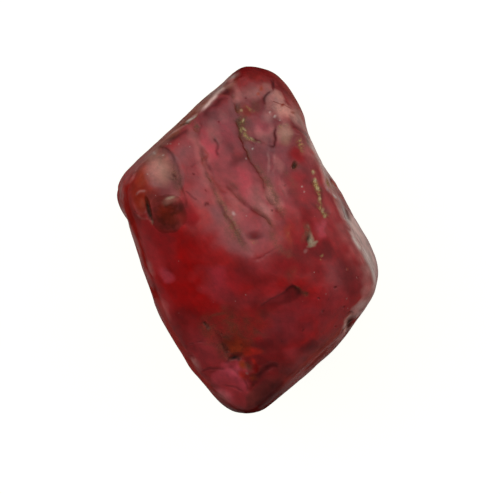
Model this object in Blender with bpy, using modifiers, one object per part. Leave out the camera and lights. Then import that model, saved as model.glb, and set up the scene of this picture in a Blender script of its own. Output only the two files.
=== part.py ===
"""Rough red spinel: one waterworn octahedral crystal, lying on a worn flat on its back.

The crystal is a block cut back by its eight crystal faces and its worn flats. It is worn
round by smoothing, and then carved with the seams, ribs, steps and pits of its skin.
Metres, +Z up, resting on z = 0. The long diagonal runs along Y, and the ridge between
the two big faces looks up.
"""

import math
from typing import NamedTuple

import bmesh
import bpy
import numpy as np
from mathutils import Matrix, Vector, noise

MM = 0.001

# The octahedron's six corners before wear, in millimetres: two points and the ends of two ridges.
CORNERS = {
    "top": (0.46, 5.32, 2.5),
    "bottom": (-1.05, -6.0, 2.5),
    "front left": (-3.45, 1.34, 6.15),
    "front right": (3.46, -1.39, 6.15),
    "back left": (-3.72, 1.55, -0.6),
    "back right": (4.14, -1.62, -0.6),
}
CRYSTAL_FACES = {
    "upper": ("top", "front left", "front right"),
    "lower": ("bottom", "front left", "front right"),
    "upper left": ("top", "front left", "back left"),
    "upper right": ("top", "front right", "back right"),
    "lower left": ("bottom", "front left", "back left"),
    "lower right": ("bottom", "front right", "back right"),
    "back upper": ("top", "back left", "back right"),
    "back lower": ("bottom", "back left", "back right"),
}
MIDDLE = Vector((0, 0, 2.5)) * MM
DOWN = Vector((0, 0, -1))
BLOCK_SIZE = 16.0 * MM

# Wear: the cut block is rebuilt as even small faces, which are then relaxed.
GRAIN = 0.075 * MM
WEAR_STRENGTH = 0.5
WEAR_STEPS = 180  # on every edge
RIDGE_WEAR_STEPS = 500  # on the ridge that looks up
RIDGE_WEAR_REACH = 2.2 * MM
REST_TRIM = 0.06 * MM  # cut off the back at the end, to leave a true flat to rest on
STEP_RUN = 0.16 * MM  # how wide a step's drop is
BOWL_POWER = 1.5  # how soft a pit's rim is
FACING_FADE = 0.35  # carving fades out where the skin turns away from its own side
DEGREE_RUN = 0.06  # mm round the sides for each degree of azimuth
SOLID_TRIANGLES = 10100

SKIN_COLOUR = (0.38, 0.02, 0.03, 1.0)
SKIN_ROUGHNESS = 0.35
SPINEL_IOR = 1.72


class Flat(NamedTuple):
    """A worn flat across a corner or an edge."""

    azimuth: float  # where it looks, in degrees
    tilt: float  # from straight up, in degrees
    reach: float  # from the Z axis at the height of the middle, in mm


class Seam(NamedTuple):
    """A channel along a path, in mm. A negative depth makes it a rib."""

    width: float
    depth: float
    path: tuple


class Step(NamedTuple):
    """A step down to the left of a path on the upper side, in mm. It climbs back over the fade."""

    depth: float
    fade: float
    path: tuple


class Pit(NamedTuple):
    """A bowl on the upper side, in mm, stretched along a direction given in degrees."""

    centre: tuple
    radius: float
    depth: float
    stretch: float = 1.0
    turn: float = 0.0


class Hollow(NamedTuple):
    """A ball-shaped hollow anywhere on the skin, in mm. A negative depth makes it a swelling."""

    centre: tuple
    radius: float
    depth: float


WORN_FLATS = {
    "top": Flat(78, 88, 4.64),
    "top right": Flat(42, 88, 3.66),
    "right": Flat(358, 90, 3.58),
    "lower right": Flat(327, 90, 3.68),
    "bottom": Flat(267, 90, 4.77),
    "bottom left": Flat(224, 90, 3.55),
    "lower left": Flat(211, 90, 3.12),
    "left": Flat(182, 90, 3.6),
    "upper left": Flat(143, 90, 3.84),
    "upper left bevel": Flat(105.5, 60, 4.62),
    "top brow": Flat(60, 60, 4.32),
    "right brow": Flat(36, 44, 4.55),
    "left knob": Flat(185, 55, 5.4),
    "right shoulder": Flat(322, 45, 6.36),
    "lower right shoulder": Flat(310, 52, 5.0),
    "back left": Flat(184, 135, 4.95),
    "back right": Flat(352, 135, 5.05),
    "back top": Flat(75, 150, 6.1),
}

TOP_SEAM = (
    ((-0.5, 4.0), (-0.35, 3.6), (-0.25, 3.1), (-0.05, 2.6), (0.05, 2.25))
    + ((0.35, 1.55), (0.8, 0.85), (1.1, 0.3))
)
LEFT_SEAM = (
    ((-1.2, 2.75), (-1.15, 2.15), (-0.8, 1.35), (-0.5, 0.55))
    + ((-0.3, 0.1), (-0.05, -0.2), (0.25, -0.45))
)
MIDDLE_SEAM = ((-0.55, 1.6), (-0.25, 1.2), (0.15, 0.8), (0.45, 0.5), (0.7, 0.2))
SHOULDER_SEAM = ((2.0, 2.0), (2.2, 1.55), (2.35, 1.3), (2.55, 1.05), (2.7, 0.75), (2.8, 0.45))
FOOT_SEAM = ((-1.2, -2.35), (-0.9, -2.5), (-0.7, -2.75), (-0.6, -3.05), (-0.5, -3.35))
SHOULDER_LIP = (
    ((1.75, 2.4), (1.95, 1.95), (2.05, 1.6), (2.15, 1.35), (2.4, 1.15), (2.55, 0.95), (2.65, 0.6))
    + ((2.8, 0.3), (2.95, -0.1), (3.15, -0.45), (3.3, -0.85), (3.4, -1.2))
)
SEAMS = {
    "top seam": Seam(0.17, 0.1, TOP_SEAM),
    "left seam": Seam(0.15, 0.07, LEFT_SEAM),
    "middle seam": Seam(0.12, 0.06, MIDDLE_SEAM),
    "right seam": Seam(0.13, 0.1, ((1.75, 1.85), (1.8, 1.4), (1.9, 1.0), (2.05, 0.7), (2.15, 0.5))),
    "shoulder seam": Seam(0.14, 0.12, SHOULDER_SEAM),
    "corner seam": Seam(0.09, 0.06, ((0.05, 2.7), (0.3, 2.65), (0.5, 2.5), (0.65, 2.45))),
    "low seam": Seam(0.12, 0.08, ((0.4, -1.9), (0.85, -1.7), (1.2, -1.4), (1.35, -1.25), (1.6, -1.55))),
    "foot seam": Seam(0.12, 0.07, FOOT_SEAM),
    "bevel channel": Seam(0.14, 0.08, ((-1.85, 3.05), (-1.55, 3.35), (-1.2, 3.65), (-0.8, 4.0))),
    "left lip": Seam(0.1, -0.04, ((-3.4, 1.05), (-3.15, 0.45), (-2.9, -0.15), (-2.8, -0.6), (-2.65, -1.25))),
    "knob lip": Seam(0.09, -0.06, ((-3.0, 2.1), (-2.95, 1.75), (-3.0, 1.45), (-3.15, 1.15))),
    "shoulder lip": Seam(0.1, -0.06, SHOULDER_LIP),
}
CORNER_STEP = ((0.8, 3.1), (0.7, 2.85), (0.75, 2.6), (0.65, 2.45), (0.3, 2.65), (0.05, 2.7))
WINDOW_STEP = ((-1.6, 1.0), (-1.8, 1.5), (-1.9, 1.9), (-2.05, 2.25), (-2.3, 2.45), (-2.65, 2.4))
STEPS = {
    "top step": Step(0.1, 0.8, ((0.65, 4.35), (0.7, 4.05), (0.5, 3.9), (0.45, 3.75), (0.5, 3.5))),
    "corner step": Step(0.08, 0.6, CORNER_STEP),
    "window step": Step(0.1, 0.7, WINDOW_STEP),
    "low step": Step(0.09, 0.8, ((1.4, -1.2), (1.2, -1.4), (0.5, -1.9))),
    "foot step": Step(0.12, 0.9, ((0.9, -3.4), (0.45, -3.6), (0.2, -3.85), (-0.05, -4.25))),
    "belly step": Step(0.06, 0.7, ((1.15, -3.05), (0.4, -2.8), (-0.2, -2.85), (-0.85, -2.7))),
}
PITS = {
    "bowl": Pit((-2.15, 0.63), 0.5, 0.2),
    "window": Pit((-2.45, 1.8), 0.6, 0.1, 1.3, 70),
    "bowl slit": Pit((-2.6, 0.77), 0.12, 0.12, 2.8, 100),
    "eye": Pit((-2.83, 1.0), 0.24, 0.07, 1.6, 95),
    "chip": Pit((-1.5, 3.2), 0.18, 0.12, 1.9, 38),
    "black pit": Pit((1.27, 1.98), 0.14, 0.13),
    "top dent": Pit((0.1, 3.55), 0.28, 0.07, 1.3, 20),
    "bright dent": Pit((0.95, 3.6), 0.4, 0.07, 1.4, 120),
    "olive dent": Pit((0.9, 2.8), 0.33, 0.06, 1.3, 60),
    "shoulder dent": Pit((2.2, 1.45), 0.16, 0.1, 1.9, 120),
    "shoulder foot": Pit((2.7, 0.55), 0.14, 0.1, 1.7, 115),
    "lower pit": Pit((-1.2, -2.35), 0.15, 0.13),
    "foot pit": Pit((-0.4, -3.25), 0.16, 0.12, 1.5, 40),
    "heel pit": Pit((0.3, -3.7), 0.19, 0.12, 1.7, 25),
    "toe pit": Pit((0.08, -4.0), 0.17, 0.1, 1.5, 35),
    "middle dent": Pit((-0.25, 2.15), 0.3, 0.07, 1.6, 35),
    "green dent": Pit((1.65, -0.07), 0.26, 0.08, 1.5, 100),
    "right dent": Pit((2.1, -0.28), 0.26, 0.07, 1.4, 100),
    "ridge dent": Pit((0.14, 0.12), 0.18, 0.06),
    "low dent": Pit((1.7, -2.88), 0.22, 0.07),
    "small pit": Pit((1.97, -1.98), 0.13, 0.07),
    "side pit": Pit((2.4, -2.35), 0.12, 0.06),
}
# The paths of the sides' seams are in degrees of azimuth and mm of height.
SIDE_SEAMS = {
    "lower right": Seam(0.12, 0.07, ((300, 1.3), (306, 1.9), (314, 2.4), (318, 3.1))),
    "right": Seam(0.14, 0.08, ((352, 1.1), (356, 1.7), (3, 2.0), (8, 2.7))),
    "upper right": Seam(0.11, 0.06, ((28, 1.2), (36, 1.9), (41, 2.9), (50, 3.2))),
    "upper left": Seam(0.13, 0.08, ((112, 2.2), (122, 2.5), (131, 3.3), (142, 3.5))),
    "left": Seam(0.12, 0.07, ((172, 1.2), (177, 2.0), (175, 2.7), (181, 3.6))),
    "lower left": Seam(0.12, 0.07, ((214, 1.1), (221, 1.6), (232, 1.7), (240, 2.4))),
}
BACK_SEAMS = {
    "upper": Seam(0.13, 0.08, ((-0.9, 2.6), (-0.3, 2.9), (0.2, 3.4), (0.9, 3.6))),
    "middle": Seam(0.11, 0.06, ((1.2, 1.6), (1.7, 2.0), (1.8, 2.5))),
    "lower": Seam(0.13, 0.08, ((-1.2, -2.4), (-0.8, -3.0), (-0.1, -3.2), (0.3, -3.8))),
}
HOLLOWS = {
    "right waist": Hollow((2.0, 2.15, 2.2), 1.3, 0.21),
    "left waist": Hollow((-3.1, -0.35, 2.6), 1.6, 0.25),
    "edge notch": Hollow((2.9, -2.35, 3.6), 0.42, 0.22),
    "brow waist": Hollow((-0.85, 4.1, 2.5), 0.6, 0.05),
    "ridge swell": Hollow((0.35, -0.9, 5.5), 1.6, -0.2),
    "shoulder swell": Hollow((3.35, 0, 2.8), 1.3, -0.14),
    "brow swell": Hollow((1.32, 3.65, 2.6), 1.05, -0.09),
    "knob swell": Hollow((-3.4, 0.75, 2.8), 0.8, -0.14),
    "corner swell": Hollow((-3.3, 1.9, 2.8), 0.6, -0.05),
    "toe swell": Hollow((-0.75, -4.3, 2.5), 0.8, -0.06),
    "heel swell": Hollow((2.1, -2.9, 2.5), 1.1, -0.05),
}

# The whole skin swells and sinks a little, and its sides and back have pits from other grains.
WAVE_LENGTH = 1.7 * MM
WAVE_DEPTH = 0.03 * MM
GRAIN_PITS = 22
GRAIN_PIT_RADIUS = (0.13 * MM, 0.34 * MM)
GRAIN_PIT_SLOPE = 0.17  # depth over radius
GRAIN_PIT_STRETCH = 2.6  # the longest over its width
GRAIN_PIT_LOWEST = 0.8 * MM
GRAIN_PIT_SEED = 7


def clear_scene():
    """Remove whatever the file opened with."""
    for obj in list(bpy.data.objects):
        bpy.data.objects.remove(obj, do_unlink=True)


def cut(bm, point, normal):
    """Cut away everything beyond a plane and close the cut."""
    geometry = bm.verts[:] + bm.edges[:] + bm.faces[:]
    bmesh.ops.bisect_plane(bm, geom=geometry, dist=1e-8, plane_co=point, plane_no=normal, clear_outer=True)
    bmesh.ops.holes_fill(bm, edges=[edge for edge in bm.edges if edge.is_boundary], sides=0)


def crystal_plane(names):
    """A point on a crystal face and the direction it faces, from three of the octahedron's corners."""
    first, second, third = (Vector(CORNERS[name]) * MM for name in names)
    normal = (second - first).cross(third - first).normalized()
    return first, normal if normal.dot(first - MIDDLE) > 0 else -normal


def flat_plane(flat):
    """A point on a worn flat and the direction it faces."""
    azimuth, tilt = math.radians(flat.azimuth), math.radians(flat.tilt)
    level = Vector((math.cos(azimuth), math.sin(azimuth), 0))
    normal = level * math.sin(tilt) + Vector((0, 0, math.cos(tilt)))
    return MIDDLE + level * flat.reach * MM, normal


def cut_crystal():
    """The sharp crystal: a block cut along its crystal faces, its worn flats and the flat it rests on."""
    bm = bmesh.new()
    bmesh.ops.create_cube(bm, size=BLOCK_SIZE, matrix=Matrix.Translation(MIDDLE))
    for names in CRYSTAL_FACES.values():
        cut(bm, *crystal_plane(names))
    for flat in WORN_FLATS.values():
        cut(bm, *flat_plane(flat))
    cut(bm, (0, 0, 0), DOWN)
    mesh = bpy.data.meshes.new("spinel")
    bm.to_mesh(mesh)
    bm.free()
    return bpy.data.objects.new("spinel", mesh)


def bake_modifiers(obj):
    """Replace the object's mesh by what its modifiers make of it."""
    bpy.context.view_layer.update()
    worked = bpy.data.meshes.new_from_object(obj.evaluated_get(bpy.context.evaluated_depsgraph_get()))
    obj.modifiers.clear()
    obj.data = worked
    worked.name = obj.name


def mesh_points(obj):
    """The mesh's points and the directions its skin faces there, as arrays."""
    points = np.empty(len(obj.data.vertices) * 3, np.float32)
    normals = np.empty(len(obj.data.vertices) * 3, np.float32)
    obj.data.vertices.foreach_get("co", points)
    obj.data.vertex_normals.foreach_get("vector", normals)
    return points.reshape(-1, 3).astype(float), normals.reshape(-1, 3).astype(float)


def relax(obj, steps, group=""):
    """Wear the skin by relaxing it, everywhere or by a vertex group's weights."""
    smooth = obj.modifiers.new("relax", "SMOOTH")
    smooth.factor = WEAR_STRENGTH
    smooth.iterations = steps
    smooth.vertex_group = group
    bake_modifiers(obj)


def wear(obj):
    """Rebuild the block as even small faces and relax them, the upper ridge the most."""
    rebuild = obj.modifiers.new("rebuild", "REMESH")
    rebuild.mode = "VOXEL"
    rebuild.voxel_size = GRAIN
    relax(obj, WEAR_STEPS)
    left, right = (np.array(CORNERS[name]) * MM for name in ("front left", "front right"))
    points, _ = mesh_points(obj)
    run = right - left
    share = np.clip((points - left) @ run / (run @ run), 0.06, 0.94)
    distance = np.linalg.norm(points - left - share[:, None] * run, axis=1)
    weights = np.clip(1 - distance / RIDGE_WEAR_REACH, 0, 1)
    ridge = obj.vertex_groups.new(name="ridge")
    for index in np.flatnonzero(weights):
        ridge.add([int(index)], float(weights[index]), "REPLACE")
    relax(obj, RIDGE_WEAR_STEPS, ridge.name)
    obj.vertex_groups.clear()


def smooth_path(path, per_span=6):
    """Points in metres along a smooth curve through the path's points."""
    points = np.array(path) * MM
    ends = np.vstack([2 * points[0] - points[1], points, 2 * points[-1] - points[-2]])
    curve = []
    for before, start, stop, after in zip(ends, ends[1:], ends[2:], ends[3:]):
        for t in np.arange(per_span) / per_span:
            bend = (stop - before) * t + (2 * before - 5 * start + 4 * stop - after) * t**2
            curve.append(start + 0.5 * (bend + (3 * start - before - 3 * stop + after) * t**3))
    return np.array(curve + [points[-1]])


def distance_to_path(places, path):
    """For each place: its distance to the path, how far left of it, and how far along from 0 to 1."""
    curve = smooth_path(path)
    nearest = np.full(len(places), np.inf)
    left = np.zeros(len(places))
    along = np.zeros(len(places))
    for index, (start, stop) in enumerate(zip(curve, curve[1:])):
        run = stop - start
        offset = places - start
        share = np.clip(offset @ run / (run @ run), 0, 1)
        gap = np.linalg.norm(offset - share[:, None] * run, axis=1)
        closer = gap < nearest
        nearest[closer] = gap[closer]
        left[closer] = (run[0] * offset[closer, 1] - run[1] * offset[closer, 0]) / math.hypot(*run)
        along[closer] = (index + share[closer]) / (len(curve) - 1)
    return nearest, left, along


def seam_depth(places, seam):
    """A round channel or rib whose two ends run out to nothing."""
    distance, _, along = distance_to_path(places, seam.path)
    ends = np.clip(np.minimum(along, 1 - along) * 8, 0.25, 1)
    return seam.depth * MM * ends * np.exp(-((distance / (seam.width * MM)) ** 2))


def step_depth(places, step):
    """A sharp drop on the left of the path, climbing back with distance and towards its ends."""
    distance, left, along = distance_to_path(places, step.path)
    ends = np.clip(np.minimum(along, 1 - along) * 6, 0, 1)
    drop = np.clip(0.5 + left / STEP_RUN, 0, 1)
    return step.depth * MM * ends * drop * np.exp(-((distance / (step.fade * MM)) ** 2))


def bowl(reach):
    """A bowl's depth from 1 in its middle to 0 at its rim, where reach is 1."""
    return np.clip(1 - reach**2, 0, 1) ** BOWL_POWER


def pit_depth(places, pit):
    """A bowl with a soft rim on the upper side."""
    turn = math.radians(pit.turn)
    along = np.array((math.cos(turn), math.sin(turn)))
    across = np.array((-along[1], along[0]))
    offset = places - np.array(pit.centre) * MM
    reach = np.hypot(offset @ along / pit.stretch, offset @ across) / (pit.radius * MM)
    return pit.depth * MM * bowl(reach)


def hollow_depth(points, hollow):
    """A bowl wherever the skin passes through a ball."""
    reach = np.linalg.norm(points - np.array(hollow.centre) * MM, axis=1) / (hollow.radius * MM)
    return hollow.depth * MM * bowl(reach)


def grain_pit_depth(points, downward):
    """Shallow pits scattered over the sides and the back."""
    rng = np.random.default_rng(GRAIN_PIT_SEED)
    hidden = np.flatnonzero((downward > -0.1) & (points[:, 2] > GRAIN_PIT_LOWEST))
    depth = np.zeros(len(points))
    for index in rng.choice(hidden, GRAIN_PITS, replace=False):
        radius = rng.uniform(*GRAIN_PIT_RADIUS)
        along = rng.normal(size=3)
        along /= np.linalg.norm(along)
        offset = points - points[index]
        shrink = 1 - 1 / rng.uniform(1, GRAIN_PIT_STRETCH)
        reach = np.linalg.norm(offset - shrink * (offset @ along)[:, None] * along, axis=1) / radius
        depth = np.maximum(depth, GRAIN_PIT_SLOPE * radius * bowl(reach))
    return depth


def side_seam_depth(points, seam):
    """A seam on the sides, whose path is in degrees of azimuth and mm of height."""
    start = seam.path[0][0]
    turns = [(azimuth - start + 180) % 360 - 180 for azimuth, _ in seam.path]
    path = tuple((turn * DEGREE_RUN, height) for turn, (_, height) in zip(turns, seam.path))
    azimuth = np.degrees(np.arctan2(points[:, 1], points[:, 0])) - start
    places = np.column_stack([((azimuth + 180) % 360 - 180) * DEGREE_RUN * MM, points[:, 2]])
    return seam_depth(places, Seam(seam.width, seam.depth, path))


def wave_depth(points):
    """Broad low swells and hollows all over."""
    heights = [noise.fractal(Vector(point) / WAVE_LENGTH, 1.0, 2.0, 3) for point in points]
    return WAVE_DEPTH * np.array(heights)


def carve(obj):
    """Sink each point of the skin by the depth of the features over it."""
    points, normals = mesh_points(obj)
    places = points[:, :2]
    front = sum(seam_depth(places, seam) for seam in SEAMS.values())
    front += sum(step_depth(places, step) for step in STEPS.values())
    front += sum(pit_depth(places, pit) for pit in PITS.values())
    back = sum(seam_depth(places, seam) for seam in BACK_SEAMS.values())
    sides = sum(side_seam_depth(points, seam) for seam in SIDE_SEAMS.values())
    depth = front * np.clip(normals[:, 2] / FACING_FADE, 0, 1)
    depth += back * np.clip(-normals[:, 2] / FACING_FADE, 0, 1)
    depth += sides * np.clip(2 - np.abs(normals[:, 2]) / FACING_FADE, 0, 1)
    depth += sum(hollow_depth(points, hollow) for hollow in HOLLOWS.values())
    depth += grain_pit_depth(points, -normals[:, 2]) + wave_depth(points)
    points -= normals * depth[:, None]
    obj.data.vertices.foreach_set("co", points.astype(np.float32).ravel())
    obj.data.update()


def thin_out(obj):
    """Keep the faces that the shape needs and merge the rest."""
    triangles = sum(len(face.vertices) - 2 for face in obj.data.polygons)
    thin = obj.modifiers.new("thin", "DECIMATE")
    thin.ratio = SOLID_TRIANGLES / triangles
    bake_modifiers(obj)


def flatten_back(obj):
    """Trim the flat that the crystal rests on true, and put the middle of its box on the Z axis."""
    bm = bmesh.new()
    bm.from_mesh(obj.data)
    cut(bm, (0, 0, REST_TRIM), DOWN)
    bmesh.ops.triangulate(bm, faces=bm.faces)
    low = [min(vert.co[axis] for vert in bm.verts) for axis in range(3)]
    high = [max(vert.co[axis] for vert in bm.verts) for axis in range(3)]
    middle = Vector(((low[0] + high[0]) / 2, (low[1] + high[1]) / 2, low[2]))
    bmesh.ops.translate(bm, vec=-middle, verts=bm.verts)
    bmesh.ops.recalc_face_normals(bm, faces=bm.faces)
    bm.to_mesh(obj.data)
    bm.free()


def spinel_material():
    """Red spinel with a worn, half-polished skin."""
    material = bpy.data.materials.new("red spinel")
    material.use_nodes = True
    shader = material.node_tree.nodes["Principled BSDF"]
    shader.inputs["Base Color"].default_value = SKIN_COLOUR
    shader.inputs["Roughness"].default_value = SKIN_ROUGHNESS
    shader.inputs["Metallic"].default_value = 0.0
    shader.inputs["IOR"].default_value = SPINEL_IOR
    return material


def main():
    """Build the crystal in its own collection."""
    clear_scene()
    collection = bpy.data.collections.new("rough spinel")
    bpy.context.scene.collection.children.link(collection)
    crystal = cut_crystal()
    collection.objects.link(crystal)
    wear(crystal)
    carve(crystal)
    thin_out(crystal)
    flatten_back(crystal)
    crystal.data.materials.append(spinel_material())
    crystal.data.shade_smooth()


main()
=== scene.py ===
"""A rough red spinel: the worn crystal's skin and finish, lying on a plain pale floor.

The crystal is one piece. It is cut from a block along its crystal faces and its worn flats,
worn round, and then carved and stained by the marks of its skin, some of which paint light and shade on
it.
Metres, +Z up.
"""

from __future__ import annotations

import logging
import math
from dataclasses import dataclass, field
from enum import Enum
from typing import Any

import bpy
import numpy as np
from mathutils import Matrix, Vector, noise


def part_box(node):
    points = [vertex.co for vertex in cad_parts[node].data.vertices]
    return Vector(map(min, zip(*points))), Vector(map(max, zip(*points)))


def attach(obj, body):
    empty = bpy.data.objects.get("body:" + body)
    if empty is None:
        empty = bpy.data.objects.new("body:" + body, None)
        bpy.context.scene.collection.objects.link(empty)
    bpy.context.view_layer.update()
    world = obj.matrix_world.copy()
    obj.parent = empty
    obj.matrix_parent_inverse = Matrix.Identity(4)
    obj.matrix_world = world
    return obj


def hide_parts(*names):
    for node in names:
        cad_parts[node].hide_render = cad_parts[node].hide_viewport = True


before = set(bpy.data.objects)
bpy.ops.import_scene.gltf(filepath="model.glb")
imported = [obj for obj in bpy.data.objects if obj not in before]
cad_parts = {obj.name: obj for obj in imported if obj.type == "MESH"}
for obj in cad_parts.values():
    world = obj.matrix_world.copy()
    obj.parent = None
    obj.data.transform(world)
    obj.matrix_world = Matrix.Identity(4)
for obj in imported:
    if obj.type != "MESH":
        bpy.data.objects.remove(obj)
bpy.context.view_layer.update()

log = logging.getLogger("spinel")

MM = 0.001
VIEW_MIDDLE = (247, 239.5)  # the pixel of the camera's view that the marks are measured from
PIXEL = 0.027  # mm across a pixel there
LAYERS = ("cover", "frost", "grit", "gloss")
RANGE = ("From Min", "From Max", "To Min", "To Max")
NODE = "spinel"

Place = tuple[float, ...]
Path = tuple[Place, ...]
ToneRange = tuple[float, float, float, float]  # a pattern's two ends, and the brightness at each


def linear(hex_colour: str, alpha: float = 1.0) -> tuple[float, float, float, float]:
    """Turn an sRGB hex colour linear.

    Args:
        hex_colour: six hex digits after a hash.
        alpha: the fourth value.

    Returns:
        Linear red, green and blue, and alpha.
    """
    parts = [int(hex_colour[start : start + 2], 16) / 255 for start in (1, 3, 5)]
    # The sRGB curve: a short straight foot, and then a power.
    red, green, blue = (
        part / 12.92 if part <= 0.04045 else ((part + 0.055) / 1.055) ** 2.4 for part in parts
    )
    return red, green, blue, alpha


# ---------------------------------------------------------------- the crystal's form


class Corner(Enum):
    """The octahedron's six corners before wear, in mm: two points and the ends of two ridges."""

    TOP = (0.46, 5.32, 2.5)
    BOTTOM = (-1.05, -6.0, 2.5)
    FRONT_LEFT = (-3.45, 1.34, 6.15)
    FRONT_RIGHT = (3.46, -1.39, 6.15)
    BACK_LEFT = (-3.72, 1.55, -0.6)
    BACK_RIGHT = (4.14, -1.62, -0.6)

    def place(self) -> Vector:
        """The corner in metres."""
        return Vector(self.value) * MM


@dataclass(frozen=True)
class CrystalFace:
    """A face through three of the octahedron's corners."""

    corners: tuple[Corner, Corner, Corner]

    def plane(self, middle: Vector) -> tuple[Vector, Vector]:
        """Find the face's plane.

        Args:
            middle: a point inside the crystal.

        Returns:
            A point on the face and the direction that it looks in.
        """
        first, second, third = (corner.place() for corner in self.corners)
        normal = (second - first).cross(third - first).normalized()
        return first, normal if normal.dot(first - middle) > 0 else -normal


@dataclass(frozen=True)
class WornFlat:
    """A worn flat across a corner or an edge."""

    azimuth: float  # where it looks, in degrees
    tilt: float  # from straight up, in degrees
    reach: float  # from the Z axis at the height of the middle, in mm

    def plane(self, middle: Vector) -> tuple[Vector, Vector]:
        """Find the flat's plane.

        Args:
            middle: the point that reach is measured from.

        Returns:
            A point on the flat and the direction that it looks in.
        """
        azimuth, tilt = math.radians(self.azimuth), math.radians(self.tilt)
        level = Vector((math.cos(azimuth), math.sin(azimuth), 0))
        return middle + level * self.reach * MM, level * math.sin(tilt) + Vector((0, 0, math.cos(tilt)))


CRYSTAL_FACES = (
    CrystalFace((Corner.TOP, Corner.FRONT_LEFT, Corner.FRONT_RIGHT)),
    CrystalFace((Corner.BOTTOM, Corner.FRONT_LEFT, Corner.FRONT_RIGHT)),
    CrystalFace((Corner.TOP, Corner.FRONT_LEFT, Corner.BACK_LEFT)),
    CrystalFace((Corner.TOP, Corner.FRONT_RIGHT, Corner.BACK_RIGHT)),
    CrystalFace((Corner.BOTTOM, Corner.FRONT_LEFT, Corner.BACK_LEFT)),
    CrystalFace((Corner.BOTTOM, Corner.FRONT_RIGHT, Corner.BACK_RIGHT)),
    CrystalFace((Corner.TOP, Corner.BACK_LEFT, Corner.BACK_RIGHT)),
    CrystalFace((Corner.BOTTOM, Corner.BACK_LEFT, Corner.BACK_RIGHT)),
)
WORN_FLATS = (
    WornFlat(78, 88, 4.64),  # top
    WornFlat(42, 88, 3.66),  # top right
    WornFlat(358, 90, 3.58),  # right
    WornFlat(327, 90, 3.68),  # lower right
    WornFlat(267, 90, 4.77),  # bottom
    WornFlat(224, 90, 3.55),  # bottom left
    WornFlat(211, 90, 3.12),  # lower left
    WornFlat(182, 90, 3.6),  # left
    WornFlat(143, 90, 3.84),  # upper left
    WornFlat(105.5, 60, 4.62),  # upper left bevel
    WornFlat(60, 60, 4.32),  # top brow
    WornFlat(36, 44, 4.55),  # right brow
    WornFlat(185, 55, 5.4),  # left knob
    WornFlat(322, 45, 6.36),  # right shoulder
    WornFlat(310, 52, 5.0),  # lower right shoulder
    WornFlat(184, 135, 4.95),  # back left
    WornFlat(352, 135, 5.05),  # back right
    WornFlat(75, 150, 6.1),  # back top
)


# ---------------------------------------------------------------- what lies in the skin


@dataclass(frozen=True)
class Tone:
    """A tint of the skin, with its colour in sRGB and the rest from 0 to 1."""

    colour: str
    cover: float  # how far it hides the crystal
    frost: float  # how rough it is
    grit: float = 0.0  # how far the fine grain breaks it up
    gloss: float = 0.5


class SkinTint(Enum):
    """The tints of the skin: real stains, and painted light and shade. Low cover tints the light that
    comes through; high cover hides it.
    """

    BODY = Tone("#D82428", 0.46, 0.36)
    # Painted shade: the dull red of the steep sides all round, with their gloss taken away.
    SIDES = Tone("#A8161A", 0.8, 0.6, 0.0, 0.05)
    MAUVE = Tone("#B84856", 0.56, 0.45)
    MAUVE_GREY = Tone("#B06468", 0.7, 0.5)
    PINK = Tone("#F04860", 0.55, 0.38)
    ROSE = Tone("#DC4048", 0.72, 0.4)
    HOT_PINK = Tone("#FF6074", 0.92, 0.35, 0.0, 0.3)
    HOT_RED = Tone("#F42C1C", 0.85, 0.35)
    PALE_PINK = Tone("#ECA8A0", 0.8, 0.3, 0.15)
    SALMON = Tone("#F6A898", 0.95, 0.3, 0.1)
    DEEP_RED = Tone("#CC0404", 0.4, 0.3, 0.0, 0.15)
    DULL_RED = Tone("#B41A22", 0.8, 0.8, 0.0, 0.1)
    DARK_RED = Tone("#6C0C12", 0.8, 0.6, 0.0, 0.15)
    PLUM = Tone("#8A3632", 0.92, 0.6, 0.0, 0.1)
    ORANGE = Tone("#D04818", 0.75, 0.4, 0.0, 0.3)
    RUST = Tone("#A42A10", 0.92, 0.5, 0.0, 0.05)
    PEACH = Tone("#D8957C", 0.75, 0.4)
    STRAW = Tone("#B8985A", 0.9, 0.5, 0.8, 0.3)
    SAND = Tone("#D8C48C", 0.95, 0.5, 0.3)
    OLIVE = Tone("#7A4E2E", 0.72, 0.6, 0.4, 0.3)
    BROWN = Tone("#561A0A", 0.95, 0.75, 0.1, 0.05)
    GREEN_CHIP = Tone("#B8B08C", 0.9, 0.35, 0.3)
    GREY_GREEN = Tone("#262A1E", 0.95, 0.6, 0.2, 0.0)
    WHITE = Tone("#FFF4E8", 0.95, 0.25)
    BLUSH = Tone("#FF9C96", 0.9, 0.4)
    # The tints named for the edge below are painted light and shade on the rims, lighter or darker in each
    # direction as the light falls.
    EDGE_DARK = Tone("#8A1C1E", 0.97, 0.6, 0.0, 0.0)
    DIRT = Tone("#1C0806", 0.98, 0.7, 0.0, 0.1)
    EDGE_RED = Tone("#B32822", 0.97, 0.6, 0.0, 0.0)
    EDGE_WINE = Tone("#C44440", 0.98, 0.6, 0.0, 0.0)
    EDGE_MAUVE = Tone("#C0544C", 0.97, 0.6, 0.0, 0.0)
    EDGE_BROWN = Tone("#AA5D4C", 0.97, 0.6, 0.0, 0.0)
    EDGE_PLUM = Tone("#7C1C1A", 0.96, 0.6, 0.0, 0.0)
    # Painted highlight: the pale reflection of the bright surroundings on the rims and lips.
    EDGE_PALE = Tone("#FFD2C8", 0.95, 0.5, 0.0, 0.4)


class Side(Enum):
    """Where a mark is, and so what its places mean."""

    FRONT = "X and Y in mm, on the skin that looks up"
    BACK = "X and Y in mm, on the skin that looks down"
    ROUND = "degrees of azimuth and mm of height, on the skin that looks sideways"


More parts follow.
